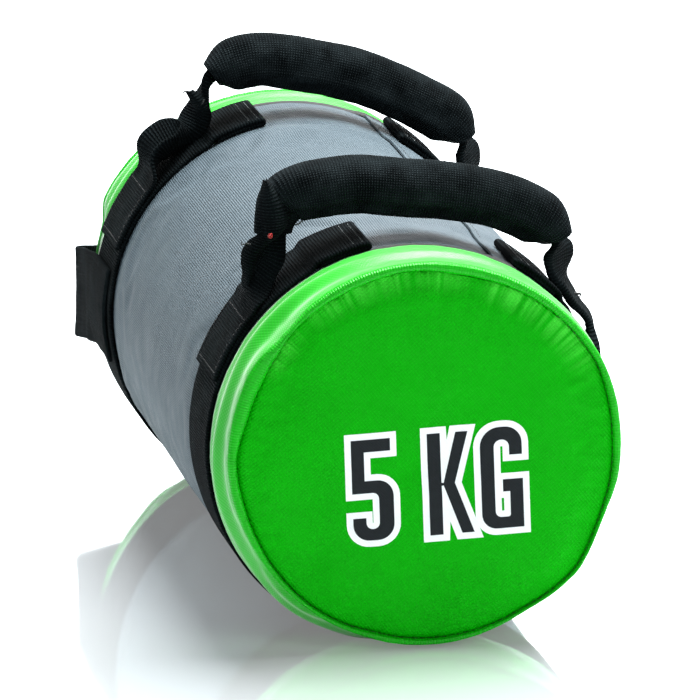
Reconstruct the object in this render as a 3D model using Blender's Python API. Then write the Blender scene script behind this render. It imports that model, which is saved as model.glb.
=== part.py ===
"""Sandbag trainer: a stuffed tube of coated tarpaulin on two webbing hoops.

Two padded grab handles cross its top and a webbing handle runs round its rear end.
The bag's axis runs along Y, the marked end faces -Y and Z is up. The origin is on
the floor under the middle of the bag. Units are metres. Angles round the bag are
measured in degrees from +X towards +Z as the marked end is seen.
"""
import math

import bmesh
import bpy
from mathutils import Vector

# Bag
BODY_RADIUS = 0.100
FLOOR_SAG = 0.004
FLOOR_CORNER_RADIUS = 0.040
FLOOR_PRESSED_ANGLE = 18.0
FLOOR_FREE_ANGLE = 42.0
SEAM_TO_SEAM = 0.347
BAND_WIDTH = 0.0375
TARPAULIN_THICKNESS = 0.0012
CLEARANCE = 0.0003
BAG_ROLL = -10.0
AROUND_STEP = 7.5
HIDDEN_STEP = 15.0

# Lap of the body panel
LAP_THICKNESS = 0.0010
LAP_LEFT_ANGLE = 75.0
LAP_RIGHT_ANGLE = 50.0
LAP_LEVEL_ANGLE = 0.8
LAP_RAMP_ANGLE = 4.0

# End discs and rim seams
RIM_INSET = 0.0025
RIM_SEAM_WIDTH = 0.0043
RIM_SEAM_DEPTH = 0.0042
DISC_CROWN = 0.0030
DISC_RECESS = 0.0016

# Webbing
WEBBING_WIDTH = 0.050
WEBBING_THICKNESS = 0.0022
SELVEDGE = 0.0004
PRESS_BLEND = 0.012
HOOP_END_ANGLE = 21.0
HOOP_FOLD_LENGTH = 0.026
ANCHOR_ROOT_ANGLE = 59.5
ANCHOR_LENGTH = 0.037

# Padded handles
GRIP_THICKNESS = 0.029
FINGER_GAP = 0.0095
SLEEVE_THICKNESS = 0.0014
SLEEVE_MOUTH_HEIGHT = 0.0135
SLEEVE_TAPER_LENGTH = 0.014
FOAM_SLOT_CLEARANCE = 0.0008
FOLD_CREASE_WIDTH = 0.0052
HANDLE_STEP = 0.0065
CURVE_PARTS = 8
OVAL_POINTS = 16
HIDDEN_POINTS = 8
SLEEVE_SQUARENESS = 2.2
FOLDED_SQUARENESS = 3.5

# End handle
END_HANDLE_ANGLE = 101.0
END_HANDLE_ANCHOR_LENGTH = 0.042
END_HANDLE_REACH = 0.0275
END_HANDLE_FLARE = 0.0010
END_HANDLE_CORNER = 0.014
END_HANDLE_BELLY = 0.0040
END_HANDLE_DROOP = 0.0085
END_HANDLE_FLEX_LENGTH = 0.022

# Inside
LINER_THICKNESS = 0.0008
LINER_SHOULDER = 0.010
LINER_END = 0.013
POUCH_RADIUS = 0.052
POUCH_EDGE_RADIUS = 0.012

# Worked out from the sizes above
AXIS_HEIGHT = BODY_RADIUS - FLOOR_SAG
RIM_RADIUS = BODY_RADIUS - RIM_INSET
SEAM_Y = SEAM_TO_SEAM / 2
RIM_Y = SEAM_Y + BAND_WIDTH
STRAP_STACK = CLEARANCE + WEBBING_THICKNESS
PRESS_DEPTH = STRAP_STACK
HOOP_Y = SEAM_Y - WEBBING_WIDTH / 2
GRIP_RADIUS = BODY_RADIUS + FINGER_GAP + GRIP_THICKNESS / 2
ROOT_RADIUS = BODY_RADIUS + STRAP_STACK + CLEARANCE + WEBBING_THICKNESS / 2

# Route of each handle: angle from the bag's top, radius, half angle of the fold, twist.
# Radii are shares of the grip's radius. Angles grow towards the bag's left side.
FRONT_LEFT_RISER_SHARES = [
    (54.0, 0.885, 20.0, 0.0),
    (47.0, 0.935, 55.0, 0.0),
    (40.0, 0.965, 80.0, 4.0),
]
FRONT_GRIP_SHARES = [
    (33.5, 1.055, 82.0, 8.0),
    (27.8, 1.060, 82.0, 16.0),
    (20.5, 1.036, 82.0, 28.0),
    (10.0, 1.000, 82.0, 44.0),
    (-5.4, 1.001, 82.0, 62.0),
    (-16.3, 1.016, 82.0, 70.0),
    (-23.9, 1.022, 82.0, 72.0),
    (-30.3, 0.994, 82.0, 68.0),
]
FRONT_RIGHT_RISER_SHARES = [
    (-35.0, 0.935, 82.0, 70.0),
    (-38.5, 0.945, 82.0, 30.0),
    (-42.5, 0.950, 65.0, 0.0),
    (-48.0, 0.910, 32.0, 0.0),
    (-53.5, 0.873, 10.0, 0.0),
]
REAR_LEFT_RISER_SHARES = [
    (53.0, 0.888, 20.0, 0.0),
    (44.0, 0.935, 60.0, 5.0),
    (35.5, 0.962, 80.0, 25.0),
]
REAR_GRIP_SHARES = [
    (28.0, 1.048, 82.0, 62.0),
    (22.5, 1.056, 82.0, 78.0),
    (15.5, 1.040, 82.0, 84.0),
    (5.0, 1.006, 82.0, 86.0),
    (-8.0, 0.990, 82.0, 84.0),
    (-21.0, 0.988, 82.0, 78.0),
    (-31.0, 1.004, 82.0, 78.0),
    (-38.0, 0.992, 82.0, 78.0),
]
REAR_RIGHT_RISER_SHARES = [
    (-42.0, 0.940, 82.0, 40.0),
    (-45.5, 0.945, 80.0, 12.0),
    (-49.0, 0.935, 55.0, 0.0),
    (-53.0, 0.893, 24.0, 0.0),
    (-56.5, 0.865, 6.0, 0.0),
]

BLACK = (0.014, 0.016, 0.017)
GREY = (0.22, 0.25, 0.27)
GREEN = (0.004, 0.48, 0.004)
CREAM = (0.72, 0.68, 0.58)
SAND = (0.45, 0.36, 0.24)
FOAM_BLACK = (0.05, 0.05, 0.05)


def clear_scene():
    for old in list(bpy.data.objects):
        bpy.data.objects.remove(old)


def finish(name, colour, roughness):
    """One plain finish, shared by all pieces that name it."""
    material = bpy.data.materials.get(name)
    if material is None:
        material = bpy.data.materials.new(name)
        material.use_nodes = True
        shader = material.node_tree.nodes["Principled BSDF"]
        shader.inputs["Base Color"].default_value = (*colour, 1.0)
        shader.inputs["Roughness"].default_value = roughness
        shader.inputs["Metallic"].default_value = 0.0
    return material


def webbing_finish():
    return finish("black_webbing", BLACK, 0.85)


def sleeve_finish():
    return finish("black_sleeve", BLACK, 0.75)


def grey_tarpaulin():
    return finish("grey_tarpaulin", GREY, 0.45)


def green_tarpaulin():
    return finish("green_tarpaulin", GREEN, 0.35)


def lining():
    return finish("lining", CREAM, 0.9)


def add_object(name, mesh, material, smooth_angle=40.0):
    mesh.materials.append(material)
    mesh.shade_smooth()
    mesh.set_sharp_from_angle(angle=math.radians(smooth_angle))
    piece = bpy.data.objects.new(name, mesh)
    bpy.context.scene.collection.objects.link(piece)
    return piece


def surface(name, rows, around):
    """A mesh through rows of points; around joins each row's end to its start."""
    count = len(rows[0])
    steps = count if around else count - 1
    vertices = [point for row in rows for point in row]
    faces = []
    for row in range(len(rows) - 1):
        for step in range(steps):
            following = (step + 1) % count
            near = row * count
            far = near + count
            faces.append((near + step, near + following, far + following, far + step))
    mesh = bpy.data.meshes.new(name)
    mesh.from_pydata(vertices, [], faces)
    return mesh


def swept(name, loops, material, smooth_angle=40.0):
    """A closed solid through equal loops of points, capped at both ends."""
    count = len(loops[0])
    mesh = surface(name, loops, around=True)
    shape = bmesh.new()
    shape.from_mesh(mesh)
    shape.verts.ensure_lookup_table()
    shape.faces.new(list(reversed(shape.verts[:count])))
    shape.faces.new(shape.verts[-count:])
    turn_outward(shape)
    shape.to_mesh(mesh)
    shape.free()
    return add_object(name, mesh, material, smooth_angle)


def sleeve_solid(name, outer, inner, material):
    """A closed solid between an outer and an inner tube, open right through."""
    count = len(outer[0])
    rows = outer + list(reversed(inner))
    vertices = [point for row in rows for point in row]
    faces = []
    for row in range(len(rows)):
        near = row * count
        far = (row + 1) % len(rows) * count
        for step in range(count):
            following = (step + 1) % count
            faces.append((near + step, near + following, far + following, far + step))
    mesh = bpy.data.meshes.new(name)
    mesh.from_pydata(vertices, [], faces)
    shape = bmesh.new()
    shape.from_mesh(mesh)
    turn_outward(shape)
    shape.to_mesh(mesh)
    shape.free()
    return add_object(name, mesh, material)


def turn_outward(shape):
    bmesh.ops.recalc_face_normals(shape, faces=shape.faces)
    if shape.calc_volume(signed=True) < 0:
        bmesh.ops.reverse_faces(shape, faces=shape.faces)


def smooth_step(value):
    value = min(max(value, 0.0), 1.0)
    return value * value * (3.0 - 2.0 * value)


def floor_turn(angle):
    """How far an angle round the bag is from straight down, in degrees."""
    return abs((angle + 270.0) % 360.0 - 180.0)


def outline(angle, offset):
    """A point of the bag's round outline, which is flat where it meets the floor.

    The offset is square to the outline and positive outward.
    """
    corner_reach = BODY_RADIUS - FLOOR_CORNER_RADIUS
    corner_drop = AXIS_HEIGHT - FLOOR_CORNER_RADIUS
    corner_x = math.sqrt(corner_reach ** 2 - corner_drop ** 2)
    side = math.radians(angle)
    along = Vector((math.cos(side), math.sin(side)))
    turn = floor_turn(angle)
    centre = Vector((0.0, AXIS_HEIGHT))
    if turn >= math.degrees(math.atan2(corner_x, corner_drop)):
        return centre + along * (BODY_RADIUS + offset)
    if turn <= math.degrees(math.atan2(corner_x, AXIS_HEIGHT)):
        x = AXIS_HEIGHT * along.x / -along.y
        return Vector((x, -offset))
    corner = Vector((math.copysign(corner_x, along.x), FLOOR_CORNER_RADIUS))
    back = corner - centre
    reach = along.dot(back)
    half = math.sqrt(reach ** 2 - back.length_squared + FLOOR_CORNER_RADIUS ** 2)
    base = centre + along * (reach + half)
    return base + (base - corner).normalized() * offset


def press_share(angle):
    """1 where the floor presses a strap into the bag, 0 up its sides."""
    past_pressed = floor_turn(angle) - FLOOR_PRESSED_ANGLE
    return 1.0 - smooth_step(past_pressed / (FLOOR_FREE_ANGLE - FLOOR_PRESSED_ANGLE))


def lap_share(angle):
    """1 over the body panel's lap, falling to 0 beside it."""
    left = LAP_LEFT_ANGLE + BAG_ROLL
    right = LAP_RIGHT_ANGLE + BAG_ROLL
    turn = (angle + 180.0) % 360.0 - 180.0
    outside = max(right - turn, turn - left)
    return 1.0 - smooth_step((outside - LAP_LEVEL_ANGLE) / LAP_RAMP_ANGLE)


def strap_offset(angle):
    """Height of a strap's underside over the outline."""
    over_lap = (LAP_THICKNESS + CLEARANCE) * lap_share(angle)
    return CLEARANCE + over_lap - PRESS_DEPTH * press_share(angle)


def to_world(flat_point, y):
    return Vector((flat_point.x, y, flat_point.y))


def full_turn(turn_step=AROUND_STEP):
    return [turn_step * step for step in range(round(360.0 / turn_step))]


def rolled(angle_from_top):
    """An angle measured from the bag's own top, seen in the room."""
    return 90.0 + angle_from_top + BAG_ROLL


def body_ring(y, offset):
    """The bag's outline at one place along it, pressed in under the hoops."""
    hoop_distance = abs(abs(y) - HOOP_Y) - WEBBING_WIDTH / 2
    under_hoop = 1.0 - smooth_step((hoop_distance - SELVEDGE) / PRESS_BLEND)
    ring = []
    for angle in full_turn():
        pressed = PRESS_DEPTH * press_share(angle) * under_hoop
        ring.append(to_world(outline(angle, offset - pressed), y))
    return ring


def rim_ring(y, radius):
    """A circle about the rim's centre, its points in line with the body's rings."""
    ring = []
    for angle in full_turn():
        side = math.radians(angle)
        height = RIM_RADIUS + radius * math.sin(side)
        ring.append(Vector((radius * math.cos(side), y, height)))
    return ring


def blended_ring(first, second, share):
    return [a.lerp(b, share) for a, b in zip(first, second)]


def shell(name, rows, material):
    """A tube of tarpaulin whose outer side runs through the rows."""
    inner = [inset_ring(row, TARPAULIN_THICKNESS) for row in rows]
    return sleeve_solid(name, rows, inner, material)


def inset_ring(ring, depth):
    """The same ring, moved in by a depth square to its own sides."""
    count = len(ring)
    moved = []
    for step, point in enumerate(ring):
        side = ring[(step + 1) % count] - ring[step - 1]
        inward = Vector((side.z, 0.0, -side.x)).normalized()
        if inward.dot(Vector((0.0, 0.0, AXIS_HEIGHT)) - Vector((point.x, 0.0, point.z))) < 0:
            inward = -inward
        moved.append(point + inward * depth)
    return moved


def body_panel():
    edge = SEAM_Y - CLEARANCE / 2
    hoop_back = SEAM_Y - WEBBING_WIDTH - SELVEDGE
    free = hoop_back - PRESS_BLEND
    places = [-edge, -hoop_back, -free]
    places += [-place for place in reversed(places)]
    shell("body_panel", [body_ring(y, 0.0) for y in places], grey_tarpaulin())


def body_lap_strip():
    edge = SEAM_Y - CLEARANCE / 2
    left = LAP_LEFT_ANGLE + BAG_ROLL
    right = LAP_RIGHT_ANGLE + BAG_ROLL
    steps = round((left - right) / AROUND_STEP)
    loops = []
    for step in range(steps + 1):
        angle = right + (left - right) * step / steps
        low = outline(angle, CLEARANCE)
        high = outline(angle, CLEARANCE + LAP_THICKNESS)
        loops.append([to_world(low, -edge), to_world(low, edge), to_world(high, edge), to_world(high, -edge)])
    swept("body_lap_strip", loops, grey_tarpaulin())


def band_rows(end):
    """Rings of a side band from its seam to the rim seam; end is -1 at the front."""
    seam = SEAM_Y + CLEARANCE / 2
    back = RIM_Y - RIM_SEAM_DEPTH - CLEARANCE
    rows = []
    for share in (0.0, 0.30, 0.60, 0.85, 1.0):
        y = end * (seam + (back - seam) * share)
        to_rim = smooth_step((share - 0.30) / 0.70)
        rim = rim_ring(y, RIM_RADIUS - SELVEDGE)
        rows.append(blended_ring(body_ring(y, 0.0), rim, to_rim))
    return rows


def rim_seam(name, end):
    """The turned-in seam allowance: a ridge round the disc."""
    inner = RIM_RADIUS - RIM_SEAM_WIDTH
    middle = RIM_RADIUS - RIM_SEAM_WIDTH / 2
    low = RIM_Y - RIM_SEAM_DEPTH
    section = [
        (RIM_RADIUS - SELVEDGE, low),
        (RIM_RADIUS, (low + RIM_Y) / 2),
        (RIM_RADIUS - SELVEDGE * 2, RIM_Y - SELVEDGE),
        (middle, RIM_Y + SELVEDGE),
        (inner + SELVEDGE, RIM_Y - SELVEDGE),
        (inner, low),
    ]
    rows = [rim_ring(end * y, radius) for radius, y in section]
    outer = rows[:4]
    inner_rows = list(reversed(rows[4:]))
    sleeve_solid(name, outer, inner_rows, green_tarpaulin())


def end_disc(name, end):
    """A slightly crowned disc of tarpaulin inside the rim seam."""
    radius = RIM_RADIUS - RIM_SEAM_WIDTH - CLEARANCE
    edge_y = RIM_Y - DISC_RECESS
    vertices = []
    faces = []
    ring_shares = (1.0, 0.85, 0.50)
    count = len(full_turn())
    for share in ring_shares:
        crown = DISC_CROWN * (1.0 - share ** 4)
        vertices += rim_ring(end * (edge_y + crown), radius * share)
    vertices.append(Vector((0.0, end * (edge_y + DISC_CROWN), RIM_RADIUS)))
    for ring in range(len(ring_shares) - 1):
        near = ring * count
        far = near + count
        for step in range(count):
            following = (step + 1) % count
            faces.append((near + step, near + following, far + following, far + step))
    last = (len(ring_shares) - 1) * count
    for step in range(count):
        faces.append((last + step, last + (step + 1) % count, len(vertices) - 1))
    mesh = bpy.data.meshes.new(name)
    mesh.from_pydata(vertices, [], faces)
    if end > 0:
        mesh.flip_normals()
    piece = add_object(name, mesh, green_tarpaulin())
    thickness = piece.modifiers.new("Tarpaulin", "SOLIDIFY")
    thickness.thickness = TARPAULIN_THICKNESS
    thickness.offset = -1.0


def strap_loop(angle, y, width, low, high):
    """Six points round a strap's section, with a thin rounded selvedge."""
    half = width / 2
    middle = (low + high) / 2
    return [
        to_world(outline(angle, low), y - half + SELVEDGE),
        to_world(outline(angle, low), y + half - SELVEDGE),
        to_world(outline(angle, middle), y + half),
        to_world(outline(angle, high), y + half - SELVEDGE),
        to_world(outline(angle, high), y - half + SELVEDGE),
        to_world(outline(angle, middle), y - half),
    ]


def arc_angle(length):
    """Degrees of turn that a length takes on the hoops."""
    return math.degrees(length / (BODY_RADIUS + STRAP_STACK))


def between(start, stop, step):
    """Angles from start to stop: both ends, and the whole steps between them."""
    angles = [start]
    following = math.floor(start / step) * step + step
    while following < stop - step / 4:
        if following > start + step / 4:
            angles.append(following)
        following += step
    angles.append(stop)
    return angles


def spaced_out(angles):
    """The angles in order, without those that nearly repeat the one before."""
    kept = []
    for angle in sorted(angles):
        if not kept or angle - kept[-1] > LAP_LEVEL_ANGLE / 2:
            kept.append(angle)
    return kept


def hoop(name, end):
    """A strap round the bag, open at the top, each end folded back on itself."""
    start = rolled(HOOP_END_ANGLE)
    stop = rolled(-HOOP_END_ANGLE) + 360.0
    fold = arc_angle(HOOP_FOLD_LENGTH)
    nose = arc_angle(WEBBING_THICKNESS)
    angles = between(start, stop, AROUND_STEP)
    angles += [start + nose, start + fold - nose, start + fold]
    angles += [stop - fold, stop - fold + nose, stop - nose]
    lap_edge = LAP_RIGHT_ANGLE + BAG_ROLL + 360.0
    angles += [lap_edge - LAP_LEVEL_ANGLE - LAP_RAMP_ANGLE, lap_edge - LAP_LEVEL_ANGLE]
    angles = spaced_out(angles)
    loops = []
    for angle in angles:
        low = strap_offset(angle)
        from_end = min(angle - start, stop - angle)
        doubled = 1.0 if from_end < fold - nose / 2 else 0.0
        high = low + WEBBING_THICKNESS * (1.0 + doubled)
        if from_end < nose / 2:
            low += WEBBING_THICKNESS * 0.4
            high -= WEBBING_THICKNESS * 0.4
        loops.append(strap_loop(angle, end * HOOP_Y, WEBBING_WIDTH, low, high))
    swept(name, loops, webbing_finish())


def anchor(name, end, side):
    """The handle webbing's end, stitched flat on the hoop; side is 1 on the left."""
    length = arc_angle(ANCHOR_LENGTH)
    root = rolled(side * ANCHOR_ROOT_ANGLE)
    angles = between(0.0, length, AROUND_STEP)
    loops = []
    for turn in angles:
        angle = root + side * turn
        low = strap_offset(angle) + STRAP_STACK
        high = low + WEBBING_THICKNESS
        loops.append(strap_loop(angle, end * HOOP_Y, WEBBING_WIDTH - SELVEDGE * 4, low, high))
    swept(name, loops, webbing_finish())


def fine_curve(rows):
    """Many rows on a smooth curve that passes through the given rows."""
    count = len(rows)
    fine = []
    for step in range(count - 1):
        before = rows[max(step - 1, 0)]
        after = rows[min(step + 2, count - 1)]
        for part in range(CURVE_PARTS):
            t = part / CURVE_PARTS
            fine.append([
                catmull_rom(before[i], rows[step][i], rows[step + 1][i], after[i], t)
                for i in range(len(rows[0]))
            ])
    fine.append(list(rows[-1]))
    return fine


def spaced(fine, spacing):
    """Rows an equal length apart on a curve, its two ends among them.

    The first three values of a row are a place; the rest follow the same curve.
    """
    lengths = [0.0]
    for near, far in zip(fine, fine[1:]):
        lengths.append(lengths[-1] + (Vector(far[:3]) - Vector(near[:3])).length)
    pieces = max(2, round(lengths[-1] / spacing))
    result = []
    place = 0
    for piece in range(pieces + 1):
        target = lengths[-1] * piece / pieces
        while place < len(fine) - 2 and lengths[place + 1] < target:
            place += 1
        span = lengths[place + 1] - lengths[place]
        share = (target - lengths[place]) / span
        result.append([a + (b - a) * share for a, b in zip(fine[place], fine[place + 1])])
    return result


def catmull_rom(before, start, stop, after, t):
    square = t * t
    cube = square * t
    return 0.5 * (
        2.0 * start + (stop - before) * t
        + (2.0 * before - 5.0 * start + 4.0 * stop - after) * square
        + (3.0 * start - before - 3.0 * stop + after) * cube
    )


def route_row(entry, y, radius_unit):
    """A place on a handle's route from its angle and share of a radius."""
    angle_from_top, share, fold, twist = entry
    side = math.radians(rolled(angle_from_top))
    reach = radius_unit * share
    return [reach * math.cos(side), y, AXIS_HEIGHT + reach * math.sin(side), fold, twist]


def handle_route(end, left_shares, grip_shares, right_shares):
    """The handle webbing's middle line, from its left root to its right root."""
    y = end * HOOP_Y
    lead = arc_angle(WEBBING_WIDTH / 4)
    rows = [route_row((ANCHOR_ROOT_ANGLE, 1.0, 0.0, 0.0), y, ROOT_RADIUS)]
    rows += [route_row(entry, y, GRIP_RADIUS) for entry in left_shares + grip_shares + right_shares]
    rows.append(route_row((-ANCHOR_ROOT_ANGLE, 1.0, 0.0, 0.0), y, ROOT_RADIUS))
    first = route_row((ANCHOR_ROOT_ANGLE + lead, 1.0, 0.0, 0.0), y, ROOT_RADIUS)
    last = route_row((-ANCHOR_ROOT_ANGLE - lead, 1.0, 0.0, 0.0), y, ROOT_RADIUS)
    return [first] + rows + [last]


def route_frames(rows):
    """Place, tangent, outward direction, fold and twist at each row of a route.

    The route's first and last steps lie on the hoop, and the roots beside them stand
    square to it.
    """
    frames = []
    last = len(rows) - 1
    for step, row in enumerate(rows):
        before = Vector(rows[step if step == last - 1 else max(step - 1, 0)][:3])
        after = Vector(rows[step if step == 1 else min(step + 1, last)][:3])
        tangent = (after - before).normalized()
        outward = Vector((0.0, 1.0, 0.0)).cross(tangent)
        if outward.dot(Vector(row[:3]) - Vector((0.0, row[1], AXIS_HEIGHT))) < 0:
            outward = -outward
        frames.append((Vector(row[:3]), tangent, outward, row[3], row[4]))
    return frames


def turned(frame):
    """The two directions of a section: across the webbing, and out of its crease."""
    place, tangent, outward, fold, twist = frame
    side = math.radians(twist)
    across = Vector((0.0, math.cos(side), 0.0)) + outward * math.sin(side)
    out = outward * math.cos(side) - Vector((0.0, math.sin(side), 0.0))
    return across, out


def fold_line(fold_degrees):
    """One half of the folded webbing's middle line: points and their normals."""
    fold = math.radians(fold_degrees)
    crease = FOLD_CREASE_WIDTH / 2
    reach = WEBBING_WIDTH / 2
    distances = [crease * share for share in (0.0, 0.5, 1.0)] + [crease + (reach - crease) * 0.5, reach]
    line = []
    a = 0.0
    b = 0.0
    previous = 0.0
    for distance in distances:
        middle = (previous + distance) / 2
        heading = fold * min(middle / crease, 1.0)
        a += (distance - previous) * math.cos(heading)
        b -= (distance - previous) * math.sin(heading)
        here = fold * min(distance / crease, 1.0)
        line.append((a, b, math.sin(here), math.cos(here)))
        previous = distance
    return line


def fold_loop(frame, thickness=WEBBING_THICKNESS):
    """Points round the section of a webbing folded along its middle."""
    across, out = turned(frame)
    half = fold_line(frame[3])
    middle = (half[0][1] + half[-1][1]) / 2
    left = [(-a, b, -na, nb) for a, b, na, nb in reversed(half[1:])]
    line = left + half
    upper = [(a + na * thickness / 2, b + nb * thickness / 2) for a, b, na, nb in line]
    lower = [(a - na * thickness / 2, b - nb * thickness / 2) for a, b, na, nb in reversed(line)]
    return [frame[0] + across * a + out * (b - middle) for a, b in upper + lower]


def split_route(rows, left_count, grip_count):
    """The route's three stretches: left riser, grip and right riser."""
    grip_start = 2 + left_count
    marks = [1, grip_start, grip_start + grip_count - 1, len(rows) - 2]
    stops = [mark * CURVE_PARTS for mark in marks]
    fine = fine_curve(rows)
    even = [fine[stops[0] - 1]]
    cuts = [1]
    for start, stop in zip(stops, stops[1:]):
        stretch = spaced(fine[start:stop + 1], HANDLE_STEP)
        even += stretch[1:] if len(cuts) > 1 else stretch
        cuts.append(len(even) - 1)
    even.append(fine[stops[-1] + 1])
    frames = route_frames(even)
    return [frames[start:stop + 1] for start, stop in zip(cuts, cuts[1:])]


def trimmed(frames, gap):
    """The same stretch, its first and last sections drawn in by a gap."""
    first = frames[0]
    last = frames[-1]
    moved_first = (first[0] + first[1] * gap, *first[1:])
    moved_last = (last[0] - last[1] * gap, *last[1:])
    return [moved_first] + frames[1:-1] + [moved_last]


def riser(name, frames):
    loops = [fold_loop(frame) for frame in trimmed(frames, CLEARANCE)]
    swept(name, loops, webbing_finish(), smooth_angle=50.0)


def section_loop(frame, half_width, half_thickness, squareness, points=OVAL_POINTS):
    """A rounded section whose width follows the folded webbing's turn.

    Its points keep their directions from one section to the next, so a section can
    turn without twisting the surface. A squareness of 2 is an ellipse.
    """
    place = frame[0]
    outward = frame[2]
    across, out = turned(frame)
    loop = []
    for step in range(points):
        side = 2.0 * math.pi * step / points
        direction = Vector((0.0, math.cos(side), 0.0)) + outward * math.sin(side)
        wide = abs(direction.dot(out)) / half_width
        thin = abs(direction.dot(across)) / half_thickness
        reach = (wide ** squareness + thin ** squareness) ** (-1.0 / squareness)
        loop.append(place + direction * reach)
    return loop


def lengths_along(frames):
    lengths = [0.0]
    for near, far in zip(frames, frames[1:]):
        lengths.append(lengths[-1] + (far[0] - near[0]).length)
    return lengths


def folded_core():
    """Half the depth and height of the webbing folded in three through a grip."""
    return WEBBING_WIDTH / 6, WEBBING_THICKNESS * 1.5 + CLEARANCE


def grip_webbing(name, frames):
    """The webbing through the foam, folded in three."""
    half_width, half_thickness = folded_core()
    loops = [
        section_loop(frame, half_width, half_thickness, FOLDED_SQUARENESS, HIDDEN_POINTS)
        for frame in frames
    ]
    swept(name, loops, webbing_finish())


def grip_sleeve(name, frames):
    """The woven sleeve: round over the foam, flattened on the webbing at both mouths."""
    lengths = lengths_along(frames)
    width = GRIP_THICKNESS / 2
    outer = []
    inner = []
    for frame, along in zip(frames, lengths):
        from_end = min(along, lengths[-1] - along)
        swell = math.sin(math.pi / 2 * min(from_end / SLEEVE_TAPER_LENGTH, 1.0))
        thickness = (SLEEVE_MOUTH_HEIGHT + (GRIP_THICKNESS - SLEEVE_MOUTH_HEIGHT) * swell) / 2
        outer.append(section_loop(frame, width, thickness, SLEEVE_SQUARENESS))
        inner.append(section_loop(
            frame, width - SLEEVE_THICKNESS, thickness - SLEEVE_THICKNESS, SLEEVE_SQUARENESS))
    sleeve_solid(name, outer, inner, sleeve_finish())


def grip_foam(name, frames):
    """A foam tube between the sleeve and the folded webbing."""
    lengths = lengths_along(frames)
    radius = GRIP_THICKNESS / 2 - SLEEVE_THICKNESS - CLEARANCE * 2
    half_width, half_thickness = folded_core()
    slot_width = half_width + FOAM_SLOT_CLEARANCE
    slot_thickness = half_thickness + FOAM_SLOT_CLEARANCE
    inside = [
        frame for frame, along in zip(frames, lengths)
        if SLEEVE_TAPER_LENGTH < along < lengths[-1] - SLEEVE_TAPER_LENGTH
    ]
    inside = inside[:-1:2] + inside[-1:]
    outer = [
        section_loop(frame, radius, radius, SLEEVE_SQUARENESS, HIDDEN_POINTS) for frame in inside
    ]
    inner = [
        section_loop(frame, slot_width, slot_thickness, FOLDED_SQUARENESS, HIDDEN_POINTS)
        for frame in inside
    ]
    sleeve_solid(name, outer, inner, finish("foam", FOAM_BLACK, 0.95))


def grab_handle(prefix, end, left_shares, grip_shares, right_shares):
    rows = handle_route(end, left_shares, grip_shares, right_shares)
    left, grip, right = split_route(rows, len(left_shares), len(grip_shares))
    riser(prefix + "_left_riser", left)
    riser(prefix + "_right_riser", right)
    grip_webbing(prefix + "_grip_webbing", grip)
    grip_foam(prefix + "_grip_foam", grip)
    grip_sleeve(prefix + "_grip_sleeve", grip)


def end_handle_anchor(name, side):
    """The end handle's webbing stitched flat on the rear hoop; side is 1 on the left."""
    middle = rolled(side * END_HANDLE_ANGLE)
    half_turn = arc_angle(WEBBING_WIDTH) / 2
    back = SEAM_Y - CLEARANCE
    steps = 6
    loops = []
    for step in range(steps + 1):
        angle = middle + half_turn * (2.0 * step / steps - 1.0)
        low = strap_offset(angle) + STRAP_STACK
        high = low + WEBBING_THICKNESS
        y = back - END_HANDLE_ANCHOR_LENGTH / 2
        loops.append(strap_loop(angle, y, END_HANDLE_ANCHOR_LENGTH, low, high))
    swept(name, loops, webbing_finish())


def end_handle_line():
    """The end handle's middle line in the bag's own level plane: across, Y and drop."""
    side = math.radians(END_HANDLE_ANGLE)
    radius = BODY_RADIUS + STRAP_STACK * 2 - WEBBING_THICKNESS / 2
    start_x = radius * math.sin(side)
    start_height = radius * math.cos(side)
    side_x = start_x + END_HANDLE_FLARE
    back = RIM_Y + END_HANDLE_REACH
    corner_x = side_x - END_HANDLE_CORNER
    corner_y = back - END_HANDLE_CORNER
    half = [(start_x, SEAM_Y), (side_x, (SEAM_Y + corner_y) / 2)]
    for turn in (0.0, 30.0, 60.0, 90.0):
        reach = END_HANDLE_CORNER * math.cos(math.radians(turn))
        depth = END_HANDLE_CORNER * math.sin(math.radians(turn))
        half.append((corner_x + reach, corner_y + depth))
    half.append((corner_x * 0.35, back + END_HANDLE_BELLY))
    rows = []
    for x, y in half:
        droop = END_HANDLE_DROOP * smooth_step((y - SEAM_Y) / (back - SEAM_Y))
        rows.append([x, y, start_height - droop])
    left = [[-x, y, up] for x, y, up in rows]
    return spaced(fine_curve(left + list(reversed(rows))), HANDLE_STEP)


def roll_point(across, y, up):
    """A point given in the bag's own level frame, turned with the bag."""
    roll = math.radians(BAG_ROLL)
    x = across * math.cos(roll) - up * math.sin(roll)
    z = across * math.sin(roll) + up * math.cos(roll)
    return Vector((x, y, AXIS_HEIGHT + z))


def end_handle_loops():
    """Sections of the end handle with the length of webbing up to each."""
    line = end_handle_line()
    loops = []
    lengths = [0.0]
    lean = 90.0 - END_HANDLE_ANGLE
    for step, (across, y, up) in enumerate(line):
        before = line[max(step - 1, 0)]
        after = line[min(step + 1, len(line) - 1)]
        tangent = Vector((after[0] - before[0], after[1] - before[1], 0.0)).normalized()
        normal = Vector((-tangent.y, tangent.x, 0.0))
        if step:
            lengths.append(lengths[-1] + math.hypot(across - before[0], y - before[1]))
        side = -1.0 if across < 0 else 1.0
        toward_root = 1.0 - smooth_step((y - SEAM_Y) / BAND_WIDTH)
        tilt = math.radians(lean) * toward_root
        half_height = WEBBING_WIDTH / 2
        half_thickness = WEBBING_THICKNESS / 2
        loop = []
        for height, thickness in (
            (-half_height + SELVEDGE, -half_thickness), (half_height - SELVEDGE, -half_thickness),
            (half_height, 0.0), (half_height - SELVEDGE, half_thickness),
            (-half_height + SELVEDGE, half_thickness), (-half_height, 0.0),
        ):
            lean_in = -side * math.sin(tilt) * height
            place = roll_point(
                across + normal.x * thickness + lean_in,
                y + normal.y * thickness,
                up + math.cos(tilt) * height,
            )
            loop.append(place)
        loops.append(loop)
    return loops, lengths


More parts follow.
